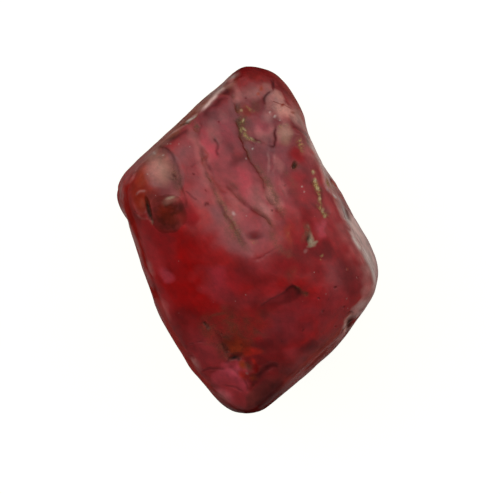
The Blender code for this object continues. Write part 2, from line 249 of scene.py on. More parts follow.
@dataclass(frozen=True)
class Skin:
    """The points of a skin in mm, the directions that it faces there, and the noise in it."""

    points: np.ndarray
    normals: np.ndarray
    wobble: np.ndarray  # how far each place strays from its mark, in mm
    grit: np.ndarray  # fine grain from 0 to 1
    breaks: np.ndarray  # coarser grain from 0 to 1, which breaks lines up
    degree_run: float = 0.06  # mm round the sides for each degree
    facing_fade: float = 0.35

    def places(self, side: Side, stray: float) -> np.ndarray:
        """Give each point's two coordinates in mm on a side, astray by a share of the wobble."""
        if side is not Side.ROUND:
            return self.points[:, :2] + stray * self.wobble
        azimuth = np.degrees(np.arctan2(self.points[:, 1], self.points[:, 0])) % 360
        return np.column_stack([azimuth * self.degree_run, self.points[:, 2]]) + stray * self.wobble

    def belongs(self, side: Side) -> np.ndarray:
        """Say how far each point belongs to a side, from 0 to 1."""
        up = self.normals[:, 2] / self.facing_fade
        if side is Side.FRONT:
            return np.clip(up, 0, 1)
        return np.clip(-up, 0, 1) if side is Side.BACK else np.clip(2 - np.abs(up), 0, 1)


@dataclass(frozen=True)
class Mark:
    """Something in the skin, or light and shade painted on it: how deep it is in mm, and what tints it and
    how strongly.
    """

    depth: float = 0.0
    colouring: SkinTint | None = None
    strength: float = 1.0
    side: Side = Side.FRONT
    stray: float = 1.0  # how much of the skin's wobble it takes

    def shape(self, skin: Skin, places: np.ndarray) -> np.ndarray:
        """Give the mark's share at each place, from 0 to 1."""
        raise NotImplementedError

    def share(self, skin: Skin) -> np.ndarray:
        """Give the mark's share at each point of a skin, from 0 to 1."""
        return self.shape(skin, skin.places(self.side, self.stray)) * skin.belongs(self.side)


def smooth_path(path: Path, per_span: int = 6) -> np.ndarray:
    """Draw a smooth curve through a path's points.

    Args:
        path: the points.
        per_span: how many straight pieces each span becomes.

    Returns:
        The curve's points.
    """
    points = np.array(path, float)
    ends = np.vstack([2 * points[0] - points[1], points, 2 * points[-1] - points[-2]])
    curve = []
    for before, start, stop, after in zip(ends, ends[1:], ends[2:], ends[3:]):
        for t in np.arange(per_span) / per_span:
            bend = (stop - before) * t + (2 * before - 5 * start + 4 * stop - after) * t**2
            curve.append(start + 0.5 * (bend + (3 * start - before - 3 * stop + after) * t**3))
    return np.array([*curve, points[-1]])


def follow(places: np.ndarray, curve: np.ndarray) -> tuple[np.ndarray, np.ndarray, np.ndarray]:
    """Measure places against a curve.

    Args:
        places: two coordinates each.
        curve: the curve's points.

    Returns:
        Each place's distance to the curve, how far left of it, and how far along from 0 to 1.
    """
    nearest = np.full(len(places), np.inf)
    left = np.zeros(len(places))
    along = np.zeros(len(places))
    for index, (start, stop) in enumerate(zip(curve, curve[1:])):
        run = stop - start
        offset = places - start
        share = np.clip(offset @ run / (run @ run), 0, 1)
        gap = np.linalg.norm(offset - share[:, None] * run, axis=1)
        closer = gap < nearest
        nearest[closer] = gap[closer]
        left[closer] = (run[0] * offset[closer, 1] - run[1] * offset[closer, 0]) / math.hypot(*run)
        along[closer] = (index + share[closer]) / (len(curve) - 1)
    return nearest, left, along


@dataclass(frozen=True)
class Line(Mark):
    """A seam along a path, or a rib where its depth is negative."""

    width: float = 0.12
    path: Path = ()
    spread: float = 3.0  # widths, past which it does nothing
    run_out: float = 8.0  # how quickly its ends begin
    end_share: float = 0.25  # what is left of it at its very ends
    break_floor: float = 0.1  # what is left of it where the grain breaks it up
    break_slope: float = 1.6

    def curve(self, skin: Skin) -> np.ndarray:
        """Draw the path as a smooth curve in mm."""
        curve = smooth_path(self.path)
        return curve * (skin.degree_run, 1) if self.side is Side.ROUND else curve

    def near(self, places: np.ndarray, curve: np.ndarray, reach: float) -> np.ndarray:
        """Find the places in the box round a curve, grown by a reach."""
        inside = (places > curve.min(axis=0) - reach) & (places < curve.max(axis=0) + reach)
        return np.flatnonzero(inside.all(axis=1))

    def shape(self, skin: Skin, places: np.ndarray) -> np.ndarray:
        """Fade with distance from the path and towards its ends."""
        curve = self.curve(skin)
        near = self.near(places, curve, self.spread * self.width)
        distance, _, along = follow(places[near], curve)
        ends = np.clip(np.minimum(along, 1 - along) * self.run_out, self.end_share, 1)
        result = np.zeros(len(places))
        whole = np.clip(self.break_floor + self.break_slope * skin.breaks[near], 0, 1)
        result[near] = ends * whole * np.exp(-((distance / self.width) ** 2))
        return result


@dataclass(frozen=True)
class Ledge(Line):
    """A drop to the left of a path, which climbs back over its width."""

    drop_run: float = 0.12  # how wide the drop itself is, in mm
    climb: float = 6.0  # how quickly its ends begin

    def shape(self, skin: Skin, places: np.ndarray) -> np.ndarray:
        """Drop sharply left of the path and climb back with distance and towards its ends."""
        curve = self.curve(skin)
        near = self.near(places, curve, self.spread * self.width)
        distance, left, along = follow(places[near], curve)
        ends = np.clip(np.minimum(along, 1 - along) * self.climb, 0, 1)
        result = np.zeros(len(places))
        drop = np.clip(0.5 + left / self.drop_run, 0, 1)
        result[near] = ends * drop * np.exp(-((distance / self.width) ** 2))
        return result


@dataclass(frozen=True)
class Spot(Mark):
    """A bowl or a patch with a soft rim, stretched along a direction given in degrees."""

    centre: Place = (0.0, 0.0)
    radius: float = 0.2
    stretch: float = 1.0
    turn: float = 0.0
    rim: float = 1.5  # how soft its rim is
    ragged: float = 0.35  # how far its rim strays

    def shape(self, skin: Skin, places: np.ndarray) -> np.ndarray:
        """Fade from the middle to the rim."""
        turn = math.radians(self.turn)
        along = np.array((math.cos(turn), math.sin(turn)))
        across = np.array((-along[1], along[0]))
        centre = np.array(self.centre) * ((skin.degree_run, 1) if self.side is Side.ROUND else (1, 1))
        offset = places - centre
        reach = np.hypot(offset @ along / self.stretch, offset @ across) / self.radius
        reach *= 1 + self.ragged * (skin.breaks - 0.5)
        return np.clip(1 - reach**2, 0, 1) ** self.rim


@dataclass(frozen=True)
class RimLightAndShade(Mark):
    """A band of painted light and shade where the skin turns from looking up to looking sideways."""

    azimuth: float = 0.0  # where the middle of its stretch looks, in degrees
    spread: float = 180.0  # degrees to each side
    steepest: float = 0.1  # how far up the skin looks where the band begins
    flattest: float = 0.6  # and where it ends
    fade: float = 0.15  # how softly it ends
    start_fade: float = 0.15  # how softly it begins
    end_fade: float = 16.0  # degrees over which its two ends fade

    def share(self, skin: Skin) -> np.ndarray:
        """Fade towards both sides of the band and both ends of its stretch."""
        up = skin.normals[:, 2]
        begin = np.clip((up - self.steepest) / self.start_fade, 0, 1)
        band = begin * np.clip((self.flattest - up) / self.fade, 0, 1)
        azimuth = np.degrees(np.arctan2(skin.points[:, 1], skin.points[:, 0]))
        off = np.abs((azimuth - self.azimuth + 180) % 360 - 180)
        return band * np.clip((self.spread - off) / self.end_fade + 0.5, 0, 1)


@dataclass(frozen=True)
class Hollow(Spot):
    """A bowl wherever the skin passes through a ball."""

    def share(self, skin: Skin) -> np.ndarray:
        """Fade with distance from the ball's middle, whichever way the skin faces."""
        reach = np.linalg.norm(skin.points - np.array(self.centre), axis=1) / self.radius
        return np.clip(1 - reach**2, 0, 1) ** self.rim


def at(x: float, y: float) -> Place:
    """Give the place in mm under a pixel of the camera's view, to a hundredth."""
    return round((x - VIEW_MIDDLE[0]) * PIXEL, 2), round((VIEW_MIDDLE[1] - y) * PIXEL, 2)


def along(*pixels: Place) -> Path:
    """Give the path in mm under some pixels of the camera's view."""
    return tuple(at(*pixel) for pixel in pixels)


def pit(
    depth: float, colouring: SkinTint | None, strength: float, x: float, y: float, radius: float,
    stretch: float = 1.0, turn: float = 0.0, rim: float = 1.5, ragged: float = 0.35, stray: float = 1.0,
) -> Spot:
    """Sink a bowl under a pixel of the camera's view.

    Args:
        depth: how deep it is, in mm.
        colouring: the tint that it lays on the skin.
        strength: how strongly, from 0 to 1.
        x: the pixel of its middle, from the view's left.
        y: the same, from the view's top.
        radius: in mm.
        stretch: how much longer than wide it is.
        turn: the direction that it is long in, in degrees.
        rim: how soft its rim is.
        ragged: how far its rim strays.
        stray: how much of the skin's wobble it takes.

    Returns:
        The bowl.
    """
    return Spot(depth, colouring, strength, Side.FRONT, stray, at(x, y), radius, stretch, turn, rim, ragged)


def pits(depth: float, colouring: SkinTint, *rows: tuple[float, ...]) -> tuple[Spot, ...]:
    """Sink bowls of one depth and tint, each row giving the rest of what pit takes."""
    return tuple(pit(depth, colouring, *row) for row in rows)


def patch(colouring: SkinTint, *row: float, **more: float) -> Spot:
    """Lay a flat patch of a tint; the row gives its strength and the rest of what pit takes."""
    return pit(0, colouring, *row, **more)


def patches(colouring: SkinTint, *rows: tuple[float, ...]) -> tuple[Spot, ...]:
    """Lay flat patches of one tint."""
    return pits(0, colouring, *rows)


def seam(
    depth: float, colouring: SkinTint, strength: float, width: float, *pixels: Place,
    run_out: float = 8.0, stray: float = 1.0,
) -> Line:
    """Draw a seam through pixels of the camera's view, or a rib where its depth is negative.

    Args:
        depth: how deep it is, in mm.
        colouring: the tint that it lays on the skin.
        strength: how strongly, from 0 to 1.
        width: in mm.
        *pixels: the pixels that it runs through, in order.
        run_out: how quickly its ends begin.
        stray: how much of the skin's wobble it takes.

    Returns:
        The seam.
    """
    return Line(depth, colouring, strength, Side.FRONT, stray, width, along(*pixels), run_out=run_out)


# Paths and marks on the skin that looks up are placed at pixels of the camera's view, and in mm
# where it says so; those on the other sides are in mm and degrees.
TOP_SEAM = along(
    (229, 92), (234, 105), (237, 118), (240, 130), (245, 143), (249, 155), (254, 170), (260, 183),
    (267, 196), (276, 208), (287, 228),
)
LEFT_SEAM = along(
    (203, 138), (205, 160), (210, 177), (217, 190), (222, 203), (228, 220), (236, 235), (245, 247),
    (256, 256),
)
MIDDLE_SEAM = along((226, 181), (238, 195), (252, 210), (263, 221), (272, 233))
RIGHT_SEAM = along((311, 172), (313, 180), (315, 190), (319, 204), (324, 213), (326, 219))
SHOULDER_LIP = along(
    (312, 150), (319, 167), (323, 181), (327, 190), (335, 197), (341, 205), (345, 218), (350, 229),
    (357, 244), (363, 257), (370, 271), (373, 284),
)
SHOULDER_SEAM = ((2.0, 2.0), (2.2, 1.55), (2.35, 1.3), (2.55, 1.05), (2.7, 0.75), (2.8, 0.45))  # mm
OUTER_BAND = along((350, 215), (358, 228), (366, 242), (373, 256), (377, 268))
WINDOW_RIM = along((150, 150), (157, 148), (163, 149), (172, 156), (177, 170), (181, 185), (186, 200))
WINDOW_STEP = (
    (-1.6, 1.0),  # mm
    *along((181, 185), (177, 170)),
    (-2.03, 2.25),  # mm
    *along((163, 149), (150, 150)),
)
LEFT_LINE = along((119, 200), (127, 222), (136.5, 245), (141.5, 262), (147, 285))
TOP_STEP = along((271, 79), (273, 90), (266, 95), (263, 101), (265, 110))
CORNER_STEP = along((276, 125), (273, 134), (274, 144), (271, 149), (258, 142), (249, 139))
FOOT_SEAM = along((203, 326), (212, 334), (221, 342), (226, 353), (228, 364))
HEEL = along((247, 393), (246, 386), (243, 379), (235, 372), (228, 366))
FOOT_STEP = along((280, 365), (271, 368), (263, 373), (254, 383), (246, 396))
BELLY_STEP = along((290, 353), (262, 343), (240, 345), (215, 340))

# A row of patches or pits gives its strength, x, y and radius, and then, as far as it needs them,
# its stretch, turn, rim, ragged and stray, as pit does. Later marks lie over earlier ones, so
# the broad and soft patches come first: how the light comes through each part of the upper side.

# The mauve haze over the upper face, a painted sheen laid over the one that its frosted skin gives back.
HAZE = (
    *patches(
        SkinTint.MAUVE, (0.8, 222, 150, 1.9, 1.3, 120), (0.8, 272, 165, 1.5, 1.6, 115),
        (0.7, 243, 235, 0.95, 1.5, 150), (0.3, 335, 225, 0.8, 1.8, 125),
    ),
)
# The clear deep red that glows through the lower face, and what clouds it.
GLOW = (
    *patches(SkinTint.DEEP_RED, (1.0, 178, 268, 0.85, 2.0, 112, 1.0), (0.5, 205, 300, 0.7, 1.4, 112)),
    patch(SkinTint.ROSE, 0.8, 213, 285, 0.48, 1.3, 130, 1.0, 0.6),
    patch(SkinTint.PINK, 0.5, 216, 275, 0.28, 1.4, 150),
    *patches(
        SkinTint.DARK_RED, (0.5, 245, 272, 0.4, 1.4, 160, 1.0, 0.6), (0.5, 235, 300, 0.3, 1.6, 40, 1.2, 0.7),
    ),
    *patches(
        SkinTint.OLIVE, (0.35, 232, 318, 0.5, 1.9, 10, 1.2, 0.8), (0.35, 264, 322, 0.45, 1.8, 20, 1.2, 0.8),
    ),
    patch(SkinTint.DARK_RED, 0.5, 283, 334, 0.5, 1.7, 15, 1.2, 0.7),
    *patches(
        SkinTint.ROSE, (0.5, 262, 296, 0.3, 1.8, 40, 1.2, 0.6), (0.4, 310, 322, 0.35, 1.5, 60, 1.2, 0.6),
    ),
    patch(SkinTint.MAUVE, 0.4, 262, 268, 0.4, 1.8, 160),
    # The hot pink patch near the left edge is a painted pink reflection.
    patch(SkinTint.HOT_PINK, 0.9, 165, 275, 0.22, 1.4, 130, 1.0),
    *patches(
        SkinTint.ROSE, (0.7, 157, 264, 0.26, 1.8, 115, 1.0), (0.6, 148, 246, 0.24, 2.4, 110, 1.2, 0.6),
        (0.6, 162, 300, 0.3, 2.4, 112, 1.2, 0.6), (0.9, 208, 352, 0.55, 1.6, 112, 1.0),
    ),
    patch(SkinTint.PINK, 0.3, 225, 285, 0.6, 1.3, 20),
    patch(SkinTint.MAUVE, 0.5, 330, 300, 0.6, 1.6, 60),
    *patches(SkinTint.DULL_RED, (0.8, 340, 262, 0.9, 1.7, 118, 1.0), (0.5, 305, 196, 0.6, 2.0, 112)),
    patch(SkinTint.DARK_RED, 0.4, 345, 280, 0.4, 1.6, 115),
    patch(SkinTint.DULL_RED, 0.6, 162, 242, 0.5, 1.8, 110, 1.0),
    patch(SkinTint.MAUVE, 0.5, 290, 320, 0.7, 1.6, 40),
)
# Round the top point and the top corner.
TOP_TINTS = (
    patch(SkinTint.DARK_RED, 0.8, 248, 69, 0.36, 1.4, 160),
    patch(SkinTint.DEEP_RED, 0.5, 249, 70, 0.3, 1.3, 160),
    patch(SkinTint.DARK_RED, 0.5, 284, 84, 0.3, 2.0, 125),
    patch(SkinTint.ORANGE, 1.0, 230, 86, 0.2, 1.6, 45, 1.0),
    patch(SkinTint.RUST, 0.6, 262, 87, 0.12, 1.6, 20),
    patch(SkinTint.ROSE, 0.5, 240, 78, 0.3, 1.5, 20),
    patch(SkinTint.BROWN, 0.45, 236, 92, 0.2, 1.5, 120),
    patch(SkinTint.DARK_RED, 0.7, 256, 104, 0.28, 1.3, 100),
    patch(SkinTint.OLIVE, 0.5, 254, 107, 0.18, 1.2, 100),
    # The pale pink and salmon patches at the top right are a painted highlight.
    patch(SkinTint.PALE_PINK, 0.9, 274, 103, 0.28, 1.9, 125, 0.8, stray=0.5),
    patch(SkinTint.SALMON, 1.0, 286, 113, 0.2, 2.3, 155, 0.8, stray=0.5),
    patch(SkinTint.SALMON, 0.7, 278, 98, 0.13, 1.8, 125, 1.0, stray=0.5),
    patch(SkinTint.PALE_PINK, 0.5, 268, 117, 0.18, 1.6, 20),
    patch(SkinTint.DARK_RED, 0.5, 293, 125, 0.18, 1.8, 145),
    patch(SkinTint.PEACH, 0.9, 283, 138, 0.27, 1.3, 110, 1.0, stray=0.5),
    patch(SkinTint.OLIVE, 0.15, 284, 140, 0.3, 1.3, 110),
    patch(SkinTint.DARK_RED, 0.7, 295, 156, 0.26, 1.5, 115),
    patch(SkinTint.PINK, 0.6, 262, 128, 0.25, 1.5, 110),
    patch(SkinTint.DARK_RED, 0.45, 262, 139, 0.2, 1.8, 150),
)
# Between the seams of the upper face: the pink and grey bands are painted light on the lit sides of its
# shallow steps, the dark red ones painted shade on their shaded sides.
FLUTE_TINTS = (
    *patches(
        SkinTint.PINK, (0.8, 210, 143, 0.2, 2.4, 110), (0.6, 226, 132, 0.3, 2.0, 115),
        (0.8, 212, 152, 0.22, 1.8, 110), (1.0, 244, 184, 0.26, 2.6, 118), (0.6, 265, 200, 0.2, 2.4, 118),
    ),
    *patches(
        SkinTint.MAUVE_GREY, (0.5, 196, 192, 0.4, 1.4, 110), (0.7, 232, 105, 0.2, 2.2, 108),
        (0.7, 182, 153, 0.34, 1.5, 30), (0.6, 222, 218, 0.4, 1.7, 118), (0.6, 270, 188, 0.2, 3.0, 112),
        (0.5, 250, 150, 0.16, 3.0, 112), (0.5, 236, 247, 0.3, 2.0, 160),
    ),
    *patches(
        SkinTint.DARK_RED, (0.5, 197, 140, 0.14, 2.6, 108), (0.5, 229, 150, 0.16, 3.0, 108),
        (0.75, 239, 160, 0.22, 1.7, 30), (0.5, 222, 205, 0.14, 3.0, 120), (0.5, 257, 196, 0.13, 3.2, 120),
        (0.5, 281, 170, 0.16, 3.0, 110), (0.5, 296, 200, 0.2, 2.6, 110), (0.5, 240, 208, 0.13, 2.6, 125),
        (0.6, 306, 214, 0.2, 1.8, 100), (0.4, 303, 175, 0.14, 3.0, 112), (0.4, 208, 180, 0.12, 2.6, 112),
    ),
    *patches(SkinTint.OLIVE, (0.35, 227, 232, 0.2, 2.4, 112), (0.35, 290, 232, 0.25, 2.0, 60)),
    *patches(SkinTint.DARK_RED, (0.5, 285, 262, 0.3, 2.2, 150), (0.4, 262, 282, 0.3, 2.0, 20)),
)
# Inside the right shoulder and round the crease.
RIGHT_TINTS = (
    *patches(SkinTint.PINK, (1.0, 318, 230, 0.2, 1.5, 100), (0.8, 322, 224, 0.1, 2.0, 60)),
    *patches(SkinTint.DARK_RED, (0.9, 323, 247, 0.22, 1.6, 110), (0.5, 350, 275, 0.45, 1.8, 110)),
    patch(SkinTint.MAUVE, 0.3, 330, 272, 0.35, 1.6, 110),
    patch(SkinTint.DARK_RED, 0.5, 284, 301, 0.2, 2.6, 35),
    patch(SkinTint.ROSE, 0.7, 286, 306, 0.12, 3.0, 35),
    patch(SkinTint.MAUVE, 0.4, 285, 318, 0.3, 2.4, 30),
    patch(SkinTint.DARK_RED, 0.5, 255, 305, 0.25, 2.2, 140),
)
# Round the lower point.
FOOT_TINTS = (
    patch(SkinTint.OLIVE, 0.6, 238, 340, 0.5, 1.7, 155, 1.0, 0.8),
    patch(SkinTint.RUST, 0.35, 240, 350, 0.45, 1.3, 110, 1.0, 0.8),
    patch(SkinTint.BROWN, 0.5, 229, 340, 0.2, 1.8, 120, 1.0, 0.9),
    patch(SkinTint.DARK_RED, 0.6, 270, 348, 0.3, 1.6, 20),
    patch(SkinTint.HOT_RED, 1.0, 253, 353, 0.18, 1.5, 10, 0.9, 0.9),
    patch(SkinTint.RUST, 0.7, 240, 345, 0.3, 1.6, 150, 1.0, 0.9),
    patch(SkinTint.DARK_RED, 0.6, 263, 345, 0.2, 1.8, 20, 1.0),
    seam(0, SkinTint.HOT_RED, 0.9, 0.06, (251, 360), (255, 367), (256, 375), (252, 380)),
    patch(SkinTint.HOT_RED, 0.4, 208, 332, 0.2, 1.8, 150, 1.0, 0.6),
    patch(SkinTint.ROSE, 0.9, 289, 352, 0.26, 1.3, 20),
    *patches(SkinTint.HOT_PINK, (1.0, 231, 374, 0.34, 1.5, 20, 0.7), (0.8, 238, 386, 0.26, 1.3, 0, 0.8)),
    *patches(SkinTint.ROSE, (0.9, 228, 388, 0.4, 1.5, 130, 1.0), (0.8, 246, 402, 0.3, 1.3, 120, 1.0)),
    patch(SkinTint.PLUM, 0.6, 290, 376, 0.5, 2.4, 42, 1.0, stray=0.5),
    patch(SkinTint.PLUM, 0.8, 268, 394, 0.4, 2.2, 42, 0.8, stray=0.5),
    patch(SkinTint.PLUM, 0.9, 256, 397, 0.26, 1.8, 42, 0.8, stray=0.5),
    patch(SkinTint.DIRT, 0.5, 259, 402, 0.13, 1.8, 30, 1.2),
    patch(SkinTint.DARK_RED, 0.6, 309, 347, 0.2, 1.5, 60, 1.0, 0.9),
    patch(SkinTint.MAUVE_GREY, 0.3, 300, 362, 0.3, 1.8, 40),
)
# Where the haze ends, and paler and darker patches over all of these; the pale pink and salmon ones at the
# top right and the pale ones along the right rim are painted highlights.
BROAD_TINTS = (
    patch(SkinTint.DULL_RED, 0.9, 301, 254, 0.62, 1.5, 30, 0.8),
    patch(SkinTint.DARK_RED, 0.45, 300, 255, 0.42, 1.5, 20, 1.0),
    patch(SkinTint.DULL_RED, 0.8, 189, 214, 0.26, 2.2, 100, 1.0),
    patch(SkinTint.DARK_RED, 0.5, 189, 213, 0.16, 2.0, 100, 1.0, stray=0.5),
    patch(SkinTint.EDGE_RED, 1.0, 251, 70, 0.36, 1.8, 172, 0.8),
    patch(SkinTint.RUST, 0.6, 139, 200, 0.3, 1.9, 95, 1.0),
    patch(SkinTint.DARK_RED, 0.6, 134, 219, 0.24, 2.2, 112, 1.0),
    # Painted highlights: pale pink at the top right and at the right rim.
    *patches(SkinTint.PALE_PINK, (0.8, 297, 119, 0.2, 1.6, 120), (1.0, 357, 311, 0.14, 2.0, 60)),
    *patches(
        SkinTint.BLUSH, (0.45, 272, 137, 0.2, 2.0, 115, 1.0), (0.4, 261, 137, 0.16, 2.0, 115, 1.0),
        (0.55, 272, 200, 0.2, 2.2, 120, 1.0), (0.5, 264, 217, 0.25, 2.0, 120, 1.0),
        (0.35, 237, 203, 0.2, 2.0, 120, 1.0), (0.4, 194, 138, 0.2, 1.8, 110, 1.0),
        (0.35, 203, 157, 0.2, 2.2, 112, 1.0), (0.35, 207, 178, 0.2, 2.2, 115, 1.0),
        (0.35, 215, 135, 0.2, 2.2, 112, 1.0), (0.35, 234, 87, 0.13, 2.8, 115, 1.0),
        (0.35, 256, 94, 0.2, 1.6, 60, 1.0), (0.4, 292, 103, 0.2, 2.0, 120, 1.0),
        (0.5, 298, 116, 0.14, 2.0, 120, 1.0), (0.4, 287, 120, 0.18, 1.8, 110, 1.0),
        (0.4, 312, 156, 0.2, 2.4, 118, 1.0), (0.35, 200, 110, 0.15, 1.8, 40, 1.0),
        (0.35, 196, 367, 0.16, 2.4, 125, 1.0), (0.35, 163, 310, 0.16, 2.6, 112, 1.0),
        (0.35, 149, 270, 0.14, 2.6, 108, 1.0), (0.35, 122, 196, 0.1, 2.0, 100, 1.0),
        (0.3, 149, 175, 0.2, 1.5, 60, 1.0), (0.2, 172, 202, 0.2, 1.5, 60, 1.0),
    ),
    patch(SkinTint.ORANGE, 0.4, 234, 346, 0.2, 1.5, 30, 1.0),
    *patches(SkinTint.RUST, (0.8, 144, 207, 0.2, 1.6, 95, 1.0), (0.4, 138, 196, 0.15, 1.6, 95, 1.0)),
    # Painted highlight at the top right.
    patch(SkinTint.SALMON, 0.4, 298, 116, 0.12, 2.0, 120, 1.0),
    *patches(
        SkinTint.BLUSH, (0.4, 239, 98, 0.13, 1.8, 115, 1.0), (0.4, 278, 166, 0.16, 1.8, 115, 1.0),
        (0.4, 267, 101, 0.16, 1.8, 115, 1.0), (0.25, 173, 201, 0.15, 1.8, 40, 1.0),
        (0.25, 293, 105, 0.15, 1.8, 120, 1.0),
    ),
    patch(SkinTint.PALE_PINK, 0.3, 201, 110, 0.12, 1.8, 40, 1.0),
    patch(SkinTint.SALMON, 0.3, 151, 177, 0.2, 1.8, 60, 1.0),
    patch(SkinTint.ROSE, 0.5, 274, 298, 0.2, 2.4, 30, 1.0),
    patch(SkinTint.RUST, 0.35, 245, 112, 0.15, 1.6, 115, 1.0),
    patch(SkinTint.OLIVE, 0.5, 304, 233, 0.12, 1.6, 100, 1.0),
    *patches(SkinTint.DULL_RED, (0.4, 170, 258, 0.4, 2.4, 110, 1.0), (0.4, 298, 157, 0.14, 1.8, 115, 1.0)),
    patch(SkinTint.DARK_RED, 0.4, 186, 214, 0.14, 1.8, 115, 1.0),
    patch(SkinTint.ROSE, 0.3, 260, 145, 0.14, 1.8, 115, 1.0),
    patch(SkinTint.DULL_RED, 0.4, 347, 279, 0.3, 1.6, 110, 1.0),
    # A painted reflection along the right rim.
    seam(0, SkinTint.BLUSH, 0.3, 0.3, (338, 212), (346, 230), (354, 246), (362, 260), (367, 274)),
    patch(SkinTint.PLUM, 0.9, 264, 395, 0.34, 2.2, 42, 0.6, stray=0.5),
    patch(SkinTint.DIRT, 0.5, 260, 401, 0.13, 1.8, 30, 1.2),
    patch(SkinTint.DARK_RED, 0.4, 324, 252, 0.25, 1.6, 110, 1.0),
    *patches(
        SkinTint.DULL_RED, (0.4, 300, 154, 0.15, 1.6, 115, 1.0), (0.5, 288, 234, 0.22, 1.6, 100, 1.0),
        (0.4, 294, 266, 0.3, 1.6, 20, 1.0), (0.4, 230, 366, 0.15, 1.6, 20, 1.0),
        (0.5, 191, 222, 0.25, 1.6, 110, 1.0),
    ),
    patch(SkinTint.DARK_RED, 0.3, 348, 282, 0.4, 1.6, 110, 1.0),
    patch(SkinTint.RUST, 0.5, 136, 194, 0.2, 1.6, 95, 1.0),
    patch(SkinTint.ROSE, 0.6, 245, 300, 0.3, 1.5, 20),
    patch(SkinTint.PEACH, 0.8, 233, 80, 0.16, 1.6, 45),
    *patches(
        SkinTint.PALE_PINK, (0.45, 147, 268, 0.14, 3.0, 108), (0.4, 122, 196, 0.12, 2.6, 100),
        (0.35, 260, 204, 0.28, 2.4, 118),
    ),
    *patches(
        SkinTint.DULL_RED, (0.4, 189, 186, 0.25, 1.4, 60), (0.5, 296, 180, 0.25, 1.6, 112),
        (0.5, 273, 266, 0.35, 1.6, 20), (0.4, 290, 268, 0.35, 1.6, 20), (0.6, 303, 234, 0.3, 1.8, 100),
    ),
    # Painted highlight at the right rim.
    patch(SkinTint.PALE_PINK, 0.5, 367, 277, 0.2, 2.2, 100),
    patch(SkinTint.PEACH, 1.0, 228, 85, 0.2, 1.6, 45),
    patch(SkinTint.PALE_PINK, 0.45, 249, 92, 0.22, 1.4, 20),
    *patches(SkinTint.DARK_RED, (0.5, 233, 164, 0.2, 1.6, 60), (0.6, 249, 111, 0.2, 1.3, 20)),
    *patches(SkinTint.DULL_RED, (0.7, 304, 221, 0.25, 1.6, 110), (0.7, 298, 157, 0.3, 1.5, 112)),
    patch(SkinTint.DARK_RED, 0.5, 324, 250, 0.3, 1.6, 110),
    patch(SkinTint.DULL_RED, 0.6, 291, 225, 0.35, 1.6, 110),
    *patches(SkinTint.PALE_PINK, (0.4, 269, 199, 0.15, 2.0, 118), (0.5, 193, 363, 0.14, 2.2, 125)),
    patch(SkinTint.DULL_RED, 0.7, 196, 220, 0.2, 1.4, 30),
    patch(SkinTint.HOT_PINK, 0.7, 222, 396, 0.2, 2.0, 130),
    *patches(SkinTint.DULL_RED, (0.5, 314, 219, 0.2, 1.4, 110), (0.7, 317, 275, 0.4, 1.4, 60)),
    # Painted highlights at the right rim and the top right.
    patch(SkinTint.PALE_PINK, 0.6, 366, 293, 0.14, 2.2, 60),
    patch(SkinTint.SALMON, 0.7, 297, 116, 0.18, 1.6, 120),
)
# Painted light and shade on the edge all round: the steep sides in a dull shaded red with their gloss
# taken away, the rims lighter or darker in each direction as the light falls, and a painted reflection of
# the bright surroundings on the rims to the right.
EDGES = (
    RimLightAndShade(0, SkinTint.SIDES, steepest=-2, fade=0.6),
    RimLightAndShade(0, SkinTint.EDGE_RED, azimuth=185, spread=36, steepest=-0.1),
    RimLightAndShade(0, SkinTint.EDGE_WINE, azimuth=241, spread=22, steepest=-0.1),
    RimLightAndShade(0, SkinTint.EDGE_DARK, azimuth=88, spread=14, steepest=-0.1),
    RimLightAndShade(0, SkinTint.EDGE_PLUM, azimuth=275, spread=14, steepest=-0.1),
    RimLightAndShade(0, SkinTint.EDGE_MAUVE, azimuth=312, spread=26, steepest=0, flattest=0.5),
    RimLightAndShade(0, SkinTint.EDGE_MAUVE, azimuth=48, spread=30, steepest=0, flattest=0.5),
    RimLightAndShade(0, SkinTint.EDGE_BROWN, azimuth=122, spread=22, steepest=-0.05),
    RimLightAndShade(0, SkinTint.EDGE_PALE, 0.9, azimuth=358, spread=20, steepest=0.02, flattest=0.5),
    RimLightAndShade(0, SkinTint.EDGE_PALE, 0.85, azimuth=45, spread=14, steepest=0.02, flattest=0.35),
    RimLightAndShade(0, SkinTint.EDGE_PALE, 0.6, azimuth=330, spread=12, steepest=0.0, flattest=0.2),
)
# The ridge's swell, and the broad steps that the seams run along.
BROAD_RELIEF = (
    Hollow(-0.2, centre=(0.35, -0.9, 5.5), radius=1.6),
    Ledge(0.05, width=0.5, path=TOP_SEAM),
    Ledge(0.03, width=0.4, path=LEFT_SEAM),
    Ledge(0.03, width=0.35, path=MIDDLE_SEAM),
)
# The top seam and what has settled in it; its dark red line is painted shade in the groove.
TOP_SEAM_LINES = (
    seam(
        0.05, SkinTint.DARK_RED, 0.7, 0.07, (231, 92), (234, 103), (236, 115), (238, 128), (243, 143),
        (248, 154),
    ),
    Line(0.03, SkinTint.OLIVE, 0.6, width=0.08, path=TOP_SEAM),
    seam(
        0, SkinTint.OLIVE, 1.0, 0.18, (236, 103), (238, 114), (242, 124), (246, 136), (250, 148), run_out=3,
    ),
    seam(0, SkinTint.BROWN, 0.6, 0.1, (236, 108), (239, 116), (243, 128), (249, 143), run_out=4),
    seam(0, SkinTint.STRAW, 0.6, 0.06, (236, 112), (240, 120), (244, 131), (249, 142), run_out=4),
    seam(0.03, SkinTint.STRAW, 0.8, 0.045, (240, 130), (246, 138), (252, 141), (259, 143)),
    seam(0, SkinTint.STRAW, 0.6, 0.05, (241, 106), (248, 111), (255, 113), run_out=4),
    seam(
        0, SkinTint.OLIVE, 0.8, 0.13, (252, 160), (260, 176), (268, 190), (278, 206), (286, 222), run_out=3,
    ),
    seam(0, SkinTint.OLIVE, 0.6, 0.1, (286, 170), (289, 182), (296, 196)),
)
